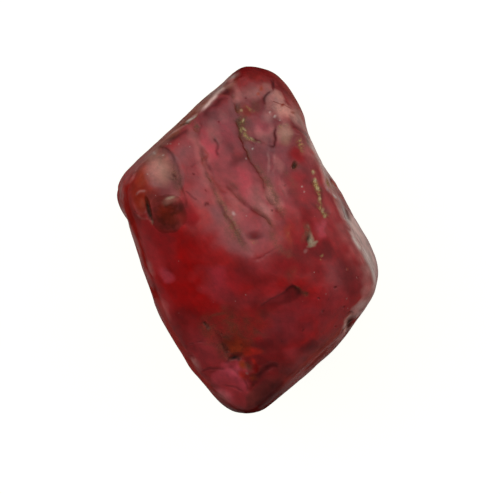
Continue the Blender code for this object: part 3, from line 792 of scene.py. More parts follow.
# The left and the middle seam; the dark red in them is painted shade in the grooves.
LEFT_SEAM_LINES = (
    Line(0.035, SkinTint.OLIVE, 0.5, width=0.08, path=LEFT_SEAM),
    seam(
        0.015, SkinTint.DARK_RED, 0.55, 0.045, (196, 118), (203, 127), (200, 140), (203, 150), (207, 160),
        (213, 172), (218, 183),
    ),
    seam(
        0, SkinTint.OLIVE, 0.5, 0.16, (214, 182), (221, 198), (229, 216), (235, 232), (242, 244), (250, 250),
        run_out=3,
    ),
    seam(0, SkinTint.STRAW, 0.3, 0.08, (218, 192), (226, 210), (232, 226), (240, 242), run_out=4),
    Line(0.03, SkinTint.DARK_RED, 0.6, width=0.07, path=MIDDLE_SEAM),
    seam(0, SkinTint.OLIVE, 0.4, 0.08, (228, 183), (236, 192), (248, 204), (259, 216), (270, 230)),
)
# The seams on the right and at the foot; the dark red lines in the right seam and the shoulder seam are
# painted shade in the grooves.
OTHER_SEAM_LINES = (
    Line(0.05, SkinTint.DARK_RED, 0.7, width=0.11, path=RIGHT_SEAM),
    Line(0, SkinTint.STRAW, width=0.06, path=RIGHT_SEAM, run_out=20),
    seam(0, SkinTint.DIRT, 0.5, 0.03, (318, 190), (320, 200), (321, 207)),
    Line(0.08, SkinTint.DARK_RED, 0.6, width=0.1, path=SHOULDER_SEAM),
    Line(0.03, SkinTint.BROWN, 0.5, width=0.06, path=FOOT_SEAM),
    Line(0, SkinTint.OLIVE, 0.5, width=0.2, path=FOOT_SEAM),
    Line(0.03, SkinTint.BROWN, 0.6, width=0.06, path=HEEL),
)
# The bevel at the upper left, its lip a painted highlight between two darker bands, the inner one painted
# shade in the crease; and painted highlights on the lit lips of the edges.
EDGE_LINES = (
    seam(0.03, SkinTint.DARK_RED, 1.0, 0.12, (201, 119), (212, 109), (222, 98), (231, 90), stray=0.3),
    seam(0, SkinTint.DARK_RED, 0.6, 0.12, (193, 109), (204, 100), (213, 91), (222, 81), stray=0.3),
    seam(
        -0.02, SkinTint.EDGE_PALE, 1.0, 0.05, (197, 116), (206, 108), (213, 100), (219, 93), (227, 87),
        stray=0.3,
    ),
    seam(-0.02, SkinTint.PALE_PINK, 0.6, 0.025, (165, 140), (174, 134), (182, 129), (189, 124), stray=0.3),
    seam(0, SkinTint.DARK_RED, 0.7, 0.06, (160, 149), (170, 143), (181, 136), (190, 130), stray=0.3),
    seam(0, SkinTint.DARK_RED, 0.6, 0.05, (157, 142), (167, 135), (178, 126), (186, 119), stray=0.3),
    seam(0, SkinTint.PALE_PINK, 0.5, 0.025, (206, 98), (213, 91), (222, 83), stray=0.3),
    seam(0, SkinTint.ORANGE, 0.9, 0.04, (222, 90), (226, 85), (230, 82), stray=0.3),
    Line(-0.03, SkinTint.PALE_PINK, width=0.045, path=LEFT_LINE, stray=0.4),
    seam(
        -0.04, SkinTint.PALE_PINK, 0.4, 0.035, (135, 163), (137, 171), (136, 178), (132, 184), (128, 186),
        stray=0.4,
    ),
    Line(-0.05, SkinTint.PALE_PINK, 0.8, width=0.05, path=SHOULDER_LIP, stray=0.5),
    Line(0, SkinTint.EDGE_PALE, 0.9, width=0.16, path=OUTER_BAND, stray=0.5),
    seam(0, SkinTint.EDGE_PALE, 0.9, 0.09, (309, 146), (316, 157), (323, 168), (328, 176), stray=0.3),
    seam(0, SkinTint.EDGE_WINE, 0.9, 0.22, (284, 388), (300, 374), (318, 358), stray=0.3),
)
# Small cracks, scratches and steps.
CRACKS = (
    seam(0.03, SkinTint.DARK_RED, 0.8, 0.04, (189, 165), (195, 162), (200, 162)),
    seam(0.03, SkinTint.DARK_RED, 0.8, 0.04, (203, 205), (206, 202), (209, 203)),
    seam(0.02, SkinTint.DARK_RED, 0.8, 0.035, (217, 139), (219, 147), (216, 152), (219, 158)),
    seam(0.015, SkinTint.DARK_RED, 0.6, 0.03, (186, 192), (191, 196), (196, 199)),
    seam(
        0.012, SkinTint.RUST, 0.5, 0.03, (201, 146), (208, 155), (203, 163), (212, 177), (222, 189),
        (233, 196),
    ),
    seam(0.012, SkinTint.DARK_RED, 0.6, 0.03, (222, 196), (224, 211), (231, 226), (236, 233)),
    pit(0.02, SkinTint.DARK_RED, 0.8, 193, 173, 0.05, 1.6, 160),
    seam(0.02, SkinTint.DARK_RED, 0.6, 0.035, (281, 178), (283, 190), (287, 202)),
    seam(0.02, SkinTint.DARK_RED, 0.6, 0.035, (262, 190), (270, 203), (276, 212)),
    seam(0.02, SkinTint.BROWN, 0.6, 0.035, (214, 333), (221, 340), (226, 349), (230, 357)),
    seam(0.02, SkinTint.DARK_RED, 0.5, 0.03, (177, 350), (191, 356), (202, 369)),
    seam(0.015, SkinTint.DARK_RED, 0.5, 0.03, (222, 384), (232, 388), (240, 392)),
    seam(0, SkinTint.PALE_PINK, 0.6, 0.03, (268, 152), (267, 163), (265, 178)),
    seam(0, SkinTint.PALE_PINK, 0.4, 0.03, (274, 156), (272, 168), (271, 180)),
    seam(0.03, SkinTint.STRAW, 0.9, 0.06, (297, 139), (301, 147), (304, 153)),
    seam(0.02, SkinTint.STRAW, 0.8, 0.05, (275, 135), (279, 130), (284, 127), (290, 131)),
    seam(0.02, SkinTint.DARK_RED, 0.8, 0.04, (293, 129), (299, 131), (305, 137), (308, 145)),
    Line(0, SkinTint.BROWN, 0.9, width=0.045, path=WINDOW_RIM, stray=0.3),
    Ledge(0.07, SkinTint.DARK_RED, 0.2, width=0.5, path=TOP_STEP, stray=0.4),
    Line(0, SkinTint.DARK_RED, width=0.04, path=TOP_STEP, stray=0.4),
    # The dark lines along the corner step and the foot step, and the dark red on the foot step's drop, are
    # painted shade at the foot of each step.
    Ledge(0.06, width=0.5, path=CORNER_STEP, stray=0.5),
    Line(0, SkinTint.DARK_RED, width=0.04, path=CORNER_STEP, stray=0.5),
    Ledge(0.09, width=0.6, path=WINDOW_STEP, stray=0.3),
    Ledge(0.05, SkinTint.DARK_RED, 0.35, width=0.5, path=FOOT_STEP, drop_run=0.2),
    Line(0, SkinTint.DIRT, 0.5, width=0.07, path=FOOT_STEP),
    Ledge(0.02, width=0.6, path=BELLY_STEP, drop_run=0.3),
)
# The rounded window on the left, the bowl below it and the slit beside them.
WINDOW_AND_BOWL = (
    # The window's peach and pale pink are partly a painted highlight.
    pit(0.05, SkinTint.MAUVE_GREY, 0.8, 166, 175, 0.48, 1.5, 112, 0.3, 0.1, 0.3),
    pit(0.04, SkinTint.PEACH, 0.9, 160, 169, 0.4, 1.6, 112, 1.0, 0.2, 0.3),
    patch(SkinTint.PALE_PINK, 0.3, 158, 166, 0.24, 1.7, 112, stray=0.4),
    patch(SkinTint.OLIVE, 0.8, 175, 178, 0.18, 3.2, 108, 1.0, 0.3, 0.4),
    patch(SkinTint.BROWN, 0.4, 170, 190, 0.3, 1.3, 30, 1.2, 0.3, 0.4),
    patch(SkinTint.RUST, 1.0, 144, 188, 0.27, 2.2, 88, 0.9, 0.3, 0.4),
    patch(SkinTint.ORANGE, 0.45, 144, 178, 0.2, 2.0, 80, 1.0, 0.3, 0.4),
    patch(SkinTint.BLUSH, 0.45, 154, 174, 0.28, 1.7, 105, 1.2, stray=0.3),
    patch(SkinTint.RUST, 0.9, 152, 197, 0.26, 1.4, 20, 1.0, 0.3, 0.4),
    patch(SkinTint.DARK_RED, 0.6, 160, 196, 0.2, 1.8, 10, 1.0, 0.3, 0.4),
    pit(0.1, None, 1.0, 169, 215, 0.46, 1.0, 0, 1.3, 0.1, 0.2),
    patch(SkinTint.BROWN, 1.0, 169, 215, 0.48, 1.1, 100, 0.25, 0.15, 0.3),
    patch(SkinTint.DIRT, 0.45, 182, 207, 0.16, 1.4, 60, 1.0, stray=0.2),
    patch(SkinTint.RUST, 0.5, 169, 213, 0.18, 1.4, 40, 1.2, stray=0.3),
    patch(SkinTint.RUST, 0.4, 162, 212, 0.16, 1.6, 60, stray=0.2),
    patch(SkinTint.RUST, 0.35, 172, 220, 0.16, 1.6, 20, stray=0.2),
    pit(0.05, SkinTint.RUST, 0.9, 142, 205, 0.2, 1.5, 95, 1.0, stray=0.3),
    patch(SkinTint.ORANGE, 0.5, 143, 204, 0.1, 1.5, 95, stray=0.3),
    seam(
        0.008, SkinTint.BROWN, 0.45, 0.03, (171, 155), (178, 168), (181, 186), (186, 199), (187, 210),
        stray=0.2,
    ),
    seam(-0.01, SkinTint.PALE_PINK, 0.5, 0.025, (138, 215), (143, 219), (150, 220), stray=0.3),
    seam(-0.01, SkinTint.PALE_PINK, 0.4, 0.025, (137, 197), (141, 193), (148, 193), stray=0.3),
    pit(0.08, SkinTint.GREY_GREEN, 1.0, 150, 211, 0.07, 4.6, 101, 0.8, 0.3, 0.3),
    # The pale crescent at the bowl's upper edge is a painted highlight.
    patch(SkinTint.GREEN_CHIP, 0.6, 171, 200, 0.06, 2.6, 15, stray=0.3),
    patch(SkinTint.GREEN_CHIP, 0.5, 153, 223, 0.05, 2.0, 100, stray=0.3),
    *patches(
        SkinTint.WHITE, (0.8, 154, 154, 0.035, 2.0, 120), (0.7, 163, 157, 0.035), (0.6, 151, 178, 0.025),
        (0.5, 171, 146, 0.025), (0.5, 177, 145, 0.025),
    ),
    pit(0.02, SkinTint.DARK_RED, 0.8, 172, 177, 0.05, 2.0, 150),
    pit(0.06, SkinTint.GREEN_CHIP, 1.0, 191, 121, 0.045, 4.6, 36, 0.8, 0.3, 0.3),
    seam(0, SkinTint.WHITE, 0.9, 0.025, (187, 124), (192, 120), (197, 116), stray=0.3),
    seam(0.03, SkinTint.GREY_GREEN, 0.8, 0.03, (178, 128), (184, 126), (190, 124), stray=0.3),
    pit(0.04, SkinTint.OLIVE, 0.9, 197, 128, 0.12, 2.0, 130),
)
# The black pit, the dents of the top corner and the nicks of the right edge.
UPPER_PITS = (
    pit(0.12, SkinTint.DIRT, 1.0, 294, 166, 0.09, 1.3, 60, 0.8),
    patch(SkinTint.OLIVE, 0.6, 295, 167, 0.18),
    pit(0.04, None, 1.0, 251, 108, 0.28, 1.3, 20),
    *patches(SkinTint.ORANGE, (1.0, 259, 90, 0.08), (0.9, 256, 94, 0.06)),
    *patches(SkinTint.RUST, (0.9, 281, 108, 0.07, 1.5, 30), (0.9, 293, 113, 0.08)),
    pit(0.05, None, 1.0, 282, 106, 0.4, 1.4, 120),
    pit(0.04, None, 1.0, 280, 136, 0.33, 1.3, 60),
    pit(0.08, SkinTint.STRAW, 0.9, 329, 186, 0.13, 1.9, 120),
    patch(SkinTint.DIRT, 0.7, 330, 178, 0.09, 1.6, 120),
    pit(0.1, SkinTint.BROWN, 1.0, 346, 216, 0.1, 2.6, 110, 1.0, 0.3, 0.5),
    seam(-0.02, SkinTint.PALE_PINK, 0.8, 0.035, (342, 208), (344, 217), (347, 226), (351, 231), stray=0.5),
)
# The pits at the foot, and the bright and dark places round them.
FOOT_PITS = (
    pit(0.06, SkinTint.DIRT, 1.0, 203, 326, 0.07, 1.5, 130, 1.0, 0.9),
    patch(SkinTint.OLIVE, 0.5, 203, 329, 0.2, 1.5, 130),
    pit(0.06, SkinTint.DIRT, 1.0, 233, 358, 0.12, 1.6, 20, 1.0, 0.9),
    patch(SkinTint.DIRT, 0.8, 237, 361, 0.07),
    pit(0.03, SkinTint.BROWN, 0.7, 249, 369, 0.14, 1.5, 130, 1.0),
    patch(SkinTint.BROWN, 0.5, 247, 366, 0.09, 1.6, 130),
    patch(SkinTint.ORANGE, 1.0, 241, 367, 0.12, 1.5, 120, 1.0),
    patch(SkinTint.HOT_RED, 0.9, 243, 377, 0.13, 1.5, 150, 1.0),
    patch(SkinTint.ORANGE, 0.9, 254, 379, 0.1, 1.5, 160),
    patch(SkinTint.PALE_PINK, 0.7, 246, 375, 0.04, 1.8, 150),
    patch(SkinTint.DEEP_RED, 1.0, 256, 371, 0.09, 2.6, 95),
    pit(0.02, SkinTint.DIRT, 0.6, 265, 371, 0.13, 2.4, 28),
    pit(0.02, SkinTint.BROWN, 0.8, 253, 386, 0.05, 1.8, 35),
    seam(0.02, SkinTint.DARK_RED, 0.8, 0.06, (245, 378), (257, 378), (264, 374), (272, 369), (280, 366)),
    patch(SkinTint.OLIVE, 0.4, 247, 369, 0.1, 1.8, 125, 1.0, 0.6),
)
# The pale green chip on the right.
CHIP = (
    pit(0.04, SkinTint.GREEN_CHIP, 0.9, 308, 240, 0.085, 2.2, 98, 1.2, 0.9, 0.5),
    patch(SkinTint.GREEN_CHIP, 0.7, 309, 246, 0.06, 1.8, 20, 1.2, 0.9, 0.5),
    patch(SkinTint.GREY_GREEN, 0.9, 306, 239, 0.08, 1.8, 80, stray=0.5),
    patch(SkinTint.GREEN_CHIP, 0.4, 306, 228, 0.04, 2.2, 100, stray=0.5),
    patch(SkinTint.GREEN_CHIP, 0.7, 314, 242, 0.05, 1.7, 40, stray=0.5),
    patch(SkinTint.PALE_PINK, 0.4, 306, 251, 0.07, 1.4, 60, stray=0.5),
    *patches(SkinTint.STRAW, (0.8, 322, 255, 0.05), (0.6, 321, 260, 0.04)),
)
# The dent on the ridge, the small pits on the right and the creases low down.
LOW_PITS = (
    pit(0.05, SkinTint.DARK_RED, 0.9, 252, 236, 0.14, 1.8, 10),
    *patches(SkinTint.STRAW, (0.6, 252, 241, 0.08, 1.4, 0), (0.5, 287, 236, 0.07, 1.4, 60)),
    patch(SkinTint.OLIVE, 0.8, 305, 294, 0.09, 1.8, 150),
    *pits(0.03, SkinTint.PLUM, (0.8, 320, 313, 0.04), (0.8, 344, 310, 0.04), (0.8, 335, 327, 0.035)),
    pit(0.04, SkinTint.PLUM, 0.8, 330, 348, 0.05, 2.0, 60),
    pit(0.03, SkinTint.ORANGE, 0.6, 344, 271, 0.05),
    pit(0.04, SkinTint.PLUM, 0.7, 357, 278, 0.05),
    seam(0.015, SkinTint.DARK_RED, 0.6, 0.03, (186, 346), (200, 342), (216, 344)),
    seam(0.015, SkinTint.DARK_RED, 0.6, 0.03, (203, 374), (212, 370), (226, 369)),
    Ledge(
        0.03, SkinTint.DARK_RED, width=0.26,
        path=along((306, 297), (299, 289), (291, 282), (284, 288), (273, 298), (256, 311)), drop_run=0.05,
    ),
    seam(
        0, SkinTint.BROWN, 0.5, 0.03, (306, 295), (298, 288), (291, 282), (284, 287), (274, 296), (262, 305),
    ),
    patch(SkinTint.BROWN, 0.5, 294, 288, 0.12, 1.6, 160),
    patch(SkinTint.OLIVE, 0.4, 292, 272, 0.14, 2.4, 60),
    seam(0.02, SkinTint.OLIVE, 0.8, 0.04, (294, 284), (301, 290), (308, 296)),
    seam(0, SkinTint.OLIVE, 0.6, 0.04, (206, 322), (216, 316), (228, 313), (236, 316)),
    seam(0, SkinTint.OLIVE, 0.6, 0.12, (262, 222), (272, 238), (284, 250), (296, 256)),
    seam(0, SkinTint.ORANGE, 0.5, 0.08, (284, 226), (288, 236), (294, 246)),
    seam(0.008, SkinTint.DARK_RED, 0.35, 0.03, (252, 258), (266, 254), (278, 246)),
    seam(0.01, SkinTint.DARK_RED, 0.35, 0.03, (230, 222), (237, 235), (247, 246)),
)
# Single dark and pale grains; the white ones are partly painted glints.
GRAINS = (
    pit(0.05, SkinTint.DIRT, 0.8, 222, 332, 0.04),
    pit(0.04, SkinTint.DIRT, 0.8, 226, 351, 0.05),
    *pits(0.03, SkinTint.DIRT, (0.7, 241, 347, 0.04), (0.7, 216, 345, 0.035), (0.7, 262, 340, 0.035)),
    *pits(
        0.03, SkinTint.BROWN, (0.8, 300, 330, 0.04), (0.8, 318, 300, 0.04), (0.8, 332, 290, 0.04),
        (0.8, 270, 212, 0.04), (0.8, 218, 124, 0.035), (0.8, 262, 100, 0.035), (0.8, 245, 98, 0.03),
        (0.8, 286, 187, 0.04), (0.7, 205, 190, 0.035),
    ),
    *patches(
        SkinTint.WHITE, (0.7, 270, 114, 0.035), (0.6, 281, 121, 0.03), (0.6, 246, 160, 0.03),
        (0.6, 133, 240, 0.04), (0.6, 139, 256, 0.04), (0.5, 126, 218, 0.035), (0.5, 336, 340, 0.035),
        (0.5, 345, 300, 0.03),
    ),
    patch(SkinTint.SAND, 0.9, 312, 174, 0.05, 1.5, 100, stray=0.5),
    patch(SkinTint.SAND, 0.9, 314, 182, 0.045, 1.8, 100, stray=0.5),
    patch(SkinTint.SAND, 1.0, 316, 191, 0.05, 1.8, 100, stray=0.5),
    patch(SkinTint.SAND, 0.9, 318, 199, 0.045, 1.5, 100, stray=0.5),
    patch(SkinTint.SAND, 1.0, 322, 210, 0.06, 1.4, 60, stray=0.5),
    patch(SkinTint.SAND, 0.9, 324, 216, 0.045, 1.4, 60, stray=0.5),
    *patches(
        SkinTint.SAND, (0.8, 240, 113, 0.04, 1.6, 110), (0.9, 243, 123, 0.045, 1.8, 110),
        (0.9, 246, 132, 0.04, 2.0, 150), (0.8, 253, 140, 0.035, 2.4, 150),
        (0.7, 259, 143, 0.035, 1.6, 150),
    ),
    *patches(
        SkinTint.WHITE, (0.8, 253, 150, 0.03), (0.7, 275, 117, 0.04), (0.7, 300, 190, 0.03),
        (0.5, 303, 194, 0.025),
    ),
    patch(SkinTint.MAUVE_GREY, 1.0, 234, 217, 0.09, 1.4, 100),
    patch(SkinTint.WHITE, 0.5, 234, 217, 0.06, 1.4, 100),
)
# The broad hollows and swellings of the outline, and the notch.
FORM_HOLLOWS = (
    Hollow(0.21, centre=(2.0, 2.15, 2.2), radius=1.3),
    Hollow(0.25, centre=(-3.1, -0.35, 2.6), radius=1.6),
    Hollow(0.05, centre=(-0.85, 4.1, 2.5), radius=0.6),
    Hollow(-0.14, centre=(3.35, 0, 2.8), radius=1.3),
    Hollow(-0.09, centre=(1.32, 3.65, 2.6), radius=1.05),
    Hollow(-0.14, centre=(-3.4, 0.75, 2.8), radius=0.8),
    Hollow(-0.05, centre=(-3.3, 1.9, 2.8), radius=0.6),
    Hollow(-0.06, centre=(-0.75, -4.3, 2.5), radius=0.8),
    Hollow(-0.05, centre=(2.1, -2.9, 2.5), radius=1.1),
    Hollow(0.22, SkinTint.PLUM, 0.9, centre=(2.9, -2.35, 3.6), radius=0.42),
)
# In and round the notch, and the lit rims: the salmon and pale pink lines on the notch's lip and the white
# lines along the rims are painted highlights.
RIM_LINES = (
    pit(0.11, SkinTint.BROWN, 1.0, 348.5, 325, 0.14, 2.1, 66, 0.7),
    seam(
        -0.04, SkinTint.SALMON, 1.0, 0.05, (344.5, 334), (344, 329), (345, 322), (349, 316.5), (354, 313),
        stray=0.2,
    ),
    seam(0, SkinTint.PALE_PINK, 0.8, 0.06, (344, 335), (340, 341), (336, 348), stray=0.2),
    seam(
        -0.02, SkinTint.WHITE, 0.8, 0.05, (350, 226), (352, 238), (358, 248), (363, 253), (368, 262),
        (371, 270), (373.5, 278), (374.5, 287), stray=0.2,
    ),
    seam(0, SkinTint.WHITE, 0.3, 0.12, (296, 108), (301, 122), (308, 140), (316, 156), stray=0.5),
    seam(0, SkinTint.WHITE, 0.5, 0.09, (204, 99), (212, 92), (220, 86), (228, 80), (236, 75), stray=0.5),
)
# Small tints over the rest, among them painted highlights at the right rim by the notch, along the right
# lip and on the notch's lip.
SMALL_TINTS = (
    # Painted highlights at the right rim by the notch.
    patch(SkinTint.EDGE_PALE, 0.7, 361, 305, 0.12, 2.6, 60),
    patch(SkinTint.PALE_PINK, 0.6, 355, 315, 0.1, 2.0, 60),
    patch(SkinTint.RUST, 0.5, 185, 119, 0.1, 2.4, 40),
    patch(SkinTint.EDGE_BROWN, 0.6, 128, 170, 0.08, 2.5, 60),
    patch(SkinTint.ROSE, 0.5, 150, 278, 0.1, 3.5, 108),
    patch(SkinTint.BROWN, 0.6, 350, 322, 0.08, 2.0, 66),
    seam(0, SkinTint.PALE_PINK, 0.5, 0.08, (120, 182), (121, 192), (124, 202), stray=0.5),
    *patches(SkinTint.RUST, (0.4, 138, 197, 0.16, 1.8, 95, 1.2), (0.35, 246, 113, 0.13, 1.8, 115, 1.2)),
    patch(SkinTint.ROSE, 0.3, 261, 145, 0.13, 1.8, 115, 1.2),
    patch(SkinTint.DULL_RED, 0.4, 191, 224, 0.22, 1.8, 115, 1.2),
    patch(SkinTint.RUST, 0.35, 181, 219, 0.14, 1.4, 115, 1.2),
    patch(SkinTint.OLIVE, 0.5, 304, 231, 0.12, 1.8, 95, 1.2),
    patch(SkinTint.ROSE, 0.5, 275, 298, 0.15, 2.2, 30, 1.2),
    patch(SkinTint.ORANGE, 0.4, 237, 349, 0.15, 1.6, 30, 1.2),
    *patches(SkinTint.DULL_RED, (0.5, 217, 336, 0.16, 1.6, 120, 1.2), (0.5, 301, 308, 0.25, 1.6, 30, 1.2)),
    *patches(
        SkinTint.BLUSH, (0.5, 230, 85, 0.1, 2.2, 60, 1.2), (0.25, 217, 197, 0.2, 1.8, 115, 1.2),
        (0.25, 234, 217, 0.2, 1.8, 115, 1.2), (0.3, 269, 198, 0.16, 1.8, 115, 1.2),
        (0.4, 354, 315, 0.1, 2.0, 60, 1.2),
    ),
    patch(SkinTint.DULL_RED, 0.4, 292, 265, 0.25, 1.6, 30, 1.2),
    patch(SkinTint.ROSE, 0.4, 248, 301, 0.25, 1.6, 30, 1.2),
    patch(SkinTint.DARK_RED, 0.45, 253, 74, 0.18, 1.4, 20, 1.2),
    patch(SkinTint.PEACH, 0.5, 287, 134, 0.2, 1.4, 60, 1.2),
    patch(SkinTint.RUST, 0.3, 242, 115, 0.12, 1.8, 115, 1.2),
    patch(SkinTint.DULL_RED, 0.35, 299, 155, 0.14, 1.8, 115, 1.2),
    patch(SkinTint.SALMON, 0.35, 296, 113, 0.12, 1.8, 115, 1.2),
    *patches(SkinTint.BLUSH, (0.3, 235, 100, 0.12, 1.8, 115, 1.2), (0.25, 222, 119, 0.14, 1.8, 115, 1.2)),
    patch(SkinTint.BROWN, 0.3, 181, 216, 0.12, 1.4, 60, 1.2),
    patch(SkinTint.PALE_PINK, 0.3, 201, 111, 0.1, 1.8, 40, 1.2),
    *patches(
        SkinTint.DULL_RED, (0.35, 355, 268, 0.15, 2.2, 110, 1.2), (0.35, 195, 224, 0.16, 1.8, 115, 1.2),
    ),
    patch(SkinTint.OLIVE, 0.4, 304, 234, 0.1, 1.8, 95, 1.2),
    patch(SkinTint.RUST, 0.3, 140, 203, 0.12, 1.8, 95, 1.2),
    seam(0.05, SkinTint.DARK_RED, 1.0, 0.05, (341, 200), (344.5, 207), (346, 214), (349.5, 222), stray=0.2),
    # A painted highlight along the right lip.
    seam(
        -0.03, SkinTint.WHITE, 0.9, 0.035, (326, 190), (331, 196), (338, 200), (341.5, 205), (343, 212),
        (346, 219), (350, 225), stray=0.2,
    ),
    patch(SkinTint.DIRT, 0.5, 349, 324, 0.07, 2.2, 66, 1.0),
    # A painted highlight on the notch's lip.
    seam(
        -0.01, SkinTint.SALMON, 0.9, 0.035, (345, 335), (344, 329), (345, 322), (348.5, 316.5), (353, 313.5),
        stray=0.1,
    ),
    seam(0, SkinTint.GREY_GREEN, 0.9, 0.05, (149, 200), (149.5, 208), (151, 215), (153.5, 224), stray=0.2),
    patch(SkinTint.DIRT, 0.25, 182, 217, 0.13, 1.4, 60, 1.2),
    patch(SkinTint.PEACH, 0.25, 172, 203, 0.14, 1.6, 20, 1.2),
    *patches(
        SkinTint.DARK_RED, (0.3, 305, 299, 0.2, 1.6, 30, 1.2), (0.3, 324, 317, 0.2, 1.6, 30, 1.2),
        (0.25, 299, 155, 0.13, 1.6, 115, 1.2),
    ),
    *patches(SkinTint.RUST, (0.3, 238, 85, 0.1, 1.6, 115, 1.2), (0.2, 291, 133, 0.14, 1.6, 115, 1.2)),
    patch(SkinTint.DARK_RED, 0.2, 325, 209, 0.16, 1.6, 115, 1.2),
    patch(SkinTint.OLIVE, 0.5, 303, 238, 0.1, 1.8, 95, 1.2),
    patch(SkinTint.DARK_RED, 0.2, 280, 266, 0.25, 2.0, 10, 1.2),
    *patches(
        SkinTint.BLUSH, (0.25, 366, 272, 0.13, 2.0, 115, 1.2), (0.3, 353, 316, 0.08, 2.0, 60, 1.2),
        (0.25, 283, 189, 0.14, 2.0, 115, 1.2), (0.2, 167, 145, 0.13, 1.8, 40, 1.2),
    ),
    patch(SkinTint.ROSE, 0.4, 236, 157, 0.2, 1.5, 30, 1.2),
    patch(SkinTint.DIRT, 0.3, 261, 402, 0.14, 2.0, 35, 1.2),
    patch(SkinTint.DARK_RED, 0.25, 270, 394, 0.2, 2.2, 42, 1.0),
    patch(SkinTint.SALMON, 0.3, 286, 133, 0.18, 1.4, 60, 1.2),
    patch(SkinTint.BLUSH, 0.3, 222, 396, 0.13, 2.0, 130, 1.2),
    *patches(SkinTint.DULL_RED, (0.3, 180, 220, 0.1, 1.4, 60, 1.2), (0.3, 252, 235, 0.1, 1.6, 20, 1.2)),
    patch(SkinTint.PALE_PINK, 0.4, 355, 315, 0.08, 2.0, 60, 1.2),
)
# Seams of the sides, by degrees of azimuth and mm of height, and of the back, in mm. They are guesses.
HIDDEN_SIDES = tuple(
    Line(depth, colouring, strength, side, width=width, path=path)
    for depth, colouring, strength, side, width, path in (
        (0.07, SkinTint.OLIVE, 0.3, Side.ROUND, 0.12, ((300, 1.3), (306, 1.9), (314, 2.4), (318, 3.1))),
        (0.08, SkinTint.OLIVE, 0.3, Side.ROUND, 0.14, ((352, 1.1), (356, 1.7), (363, 2.0), (368, 2.7))),
        (0.06, SkinTint.STRAW, 0.4, Side.ROUND, 0.11, ((28, 1.2), (36, 1.9), (41, 2.9), (50, 3.2))),
        (0.08, SkinTint.STRAW, 0.3, Side.ROUND, 0.13, ((112, 2.2), (122, 2.5), (131, 3.3), (142, 3.5))),
        (0.07, SkinTint.OLIVE, 0.3, Side.ROUND, 0.12, ((172, 1.2), (177, 2.0), (175, 2.7), (181, 3.6))),
        (0.07, SkinTint.OLIVE, 0.3, Side.ROUND, 0.12, ((214, 1.1), (221, 1.6), (232, 1.7), (240, 2.4))),
        (0.08, SkinTint.STRAW, 0.3, Side.BACK, 0.13, ((-0.9, 2.6), (-0.3, 2.9), (0.2, 3.4), (0.9, 3.6))),
        (0.06, SkinTint.OLIVE, 0.3, Side.BACK, 0.11, ((1.2, 1.6), (1.7, 2.0), (1.8, 2.5))),
        (0.08, SkinTint.OLIVE, 0.3, Side.BACK, 0.13, ((-1.2, -2.4), (-0.8, -3.0), (-0.1, -3.2), (0.3, -3.8))),
    )
)
MARKS = (
    HAZE + GLOW + TOP_TINTS + FLUTE_TINTS + RIGHT_TINTS + FOOT_TINTS + BROAD_TINTS + EDGES
    + BROAD_RELIEF + TOP_SEAM_LINES + LEFT_SEAM_LINES + OTHER_SEAM_LINES + EDGE_LINES + CRACKS
    + WINDOW_AND_BOWL + UPPER_PITS + FOOT_PITS + CHIP + LOW_PITS + GRAINS + FORM_HOLLOWS + RIM_LINES
    + SMALL_TINTS + HIDDEN_SIDES
)


# ---------------------------------------------------------------- modelling and materials


def add_node(
    tree: bpy.types.NodeTree, kind: str, inputs: dict[Any, Any] | None = None, **settings: Any
) -> bpy.types.Node:
    """Add a node to a tree with its settings, values and links.

    Args:
        tree: the node tree.
        kind: the node's type name.
        inputs: a value, or a socket to link, for each input by name or number.
        **settings: the node's own settings.

    Returns:
        The node.
    """
    node = tree.nodes.new(kind)
    for name, value in settings.items():
        setattr(node, name, value)
    for key, value in (inputs or {}).items():
        if isinstance(value, bpy.types.NodeSocket):
            tree.links.new(value, node.inputs[key])
        else:
            node.inputs[key].default_value = value
    return node


def apply_modifier(obj: bpy.types.Object, kind: str, **settings: Any) -> None:
    """Add a modifier with its settings and apply it."""
    modifier = obj.modifiers.new(kind.lower(), kind)
    for name, value in settings.items():
        setattr(modifier, name, value)
    bpy.context.view_layer.objects.active = obj
    bpy.ops.object.modifier_apply(modifier=modifier.name)


def cut_away(point: Vector, normal: Vector) -> None:
    """Cut the mesh that is being edited along a plane, drop what lies beyond and close the cut."""
    bpy.ops.mesh.select_all(action="SELECT")
    bpy.ops.mesh.bisect(plane_co=point, plane_no=normal, use_fill=True, clear_outer=True, threshold=1e-8)


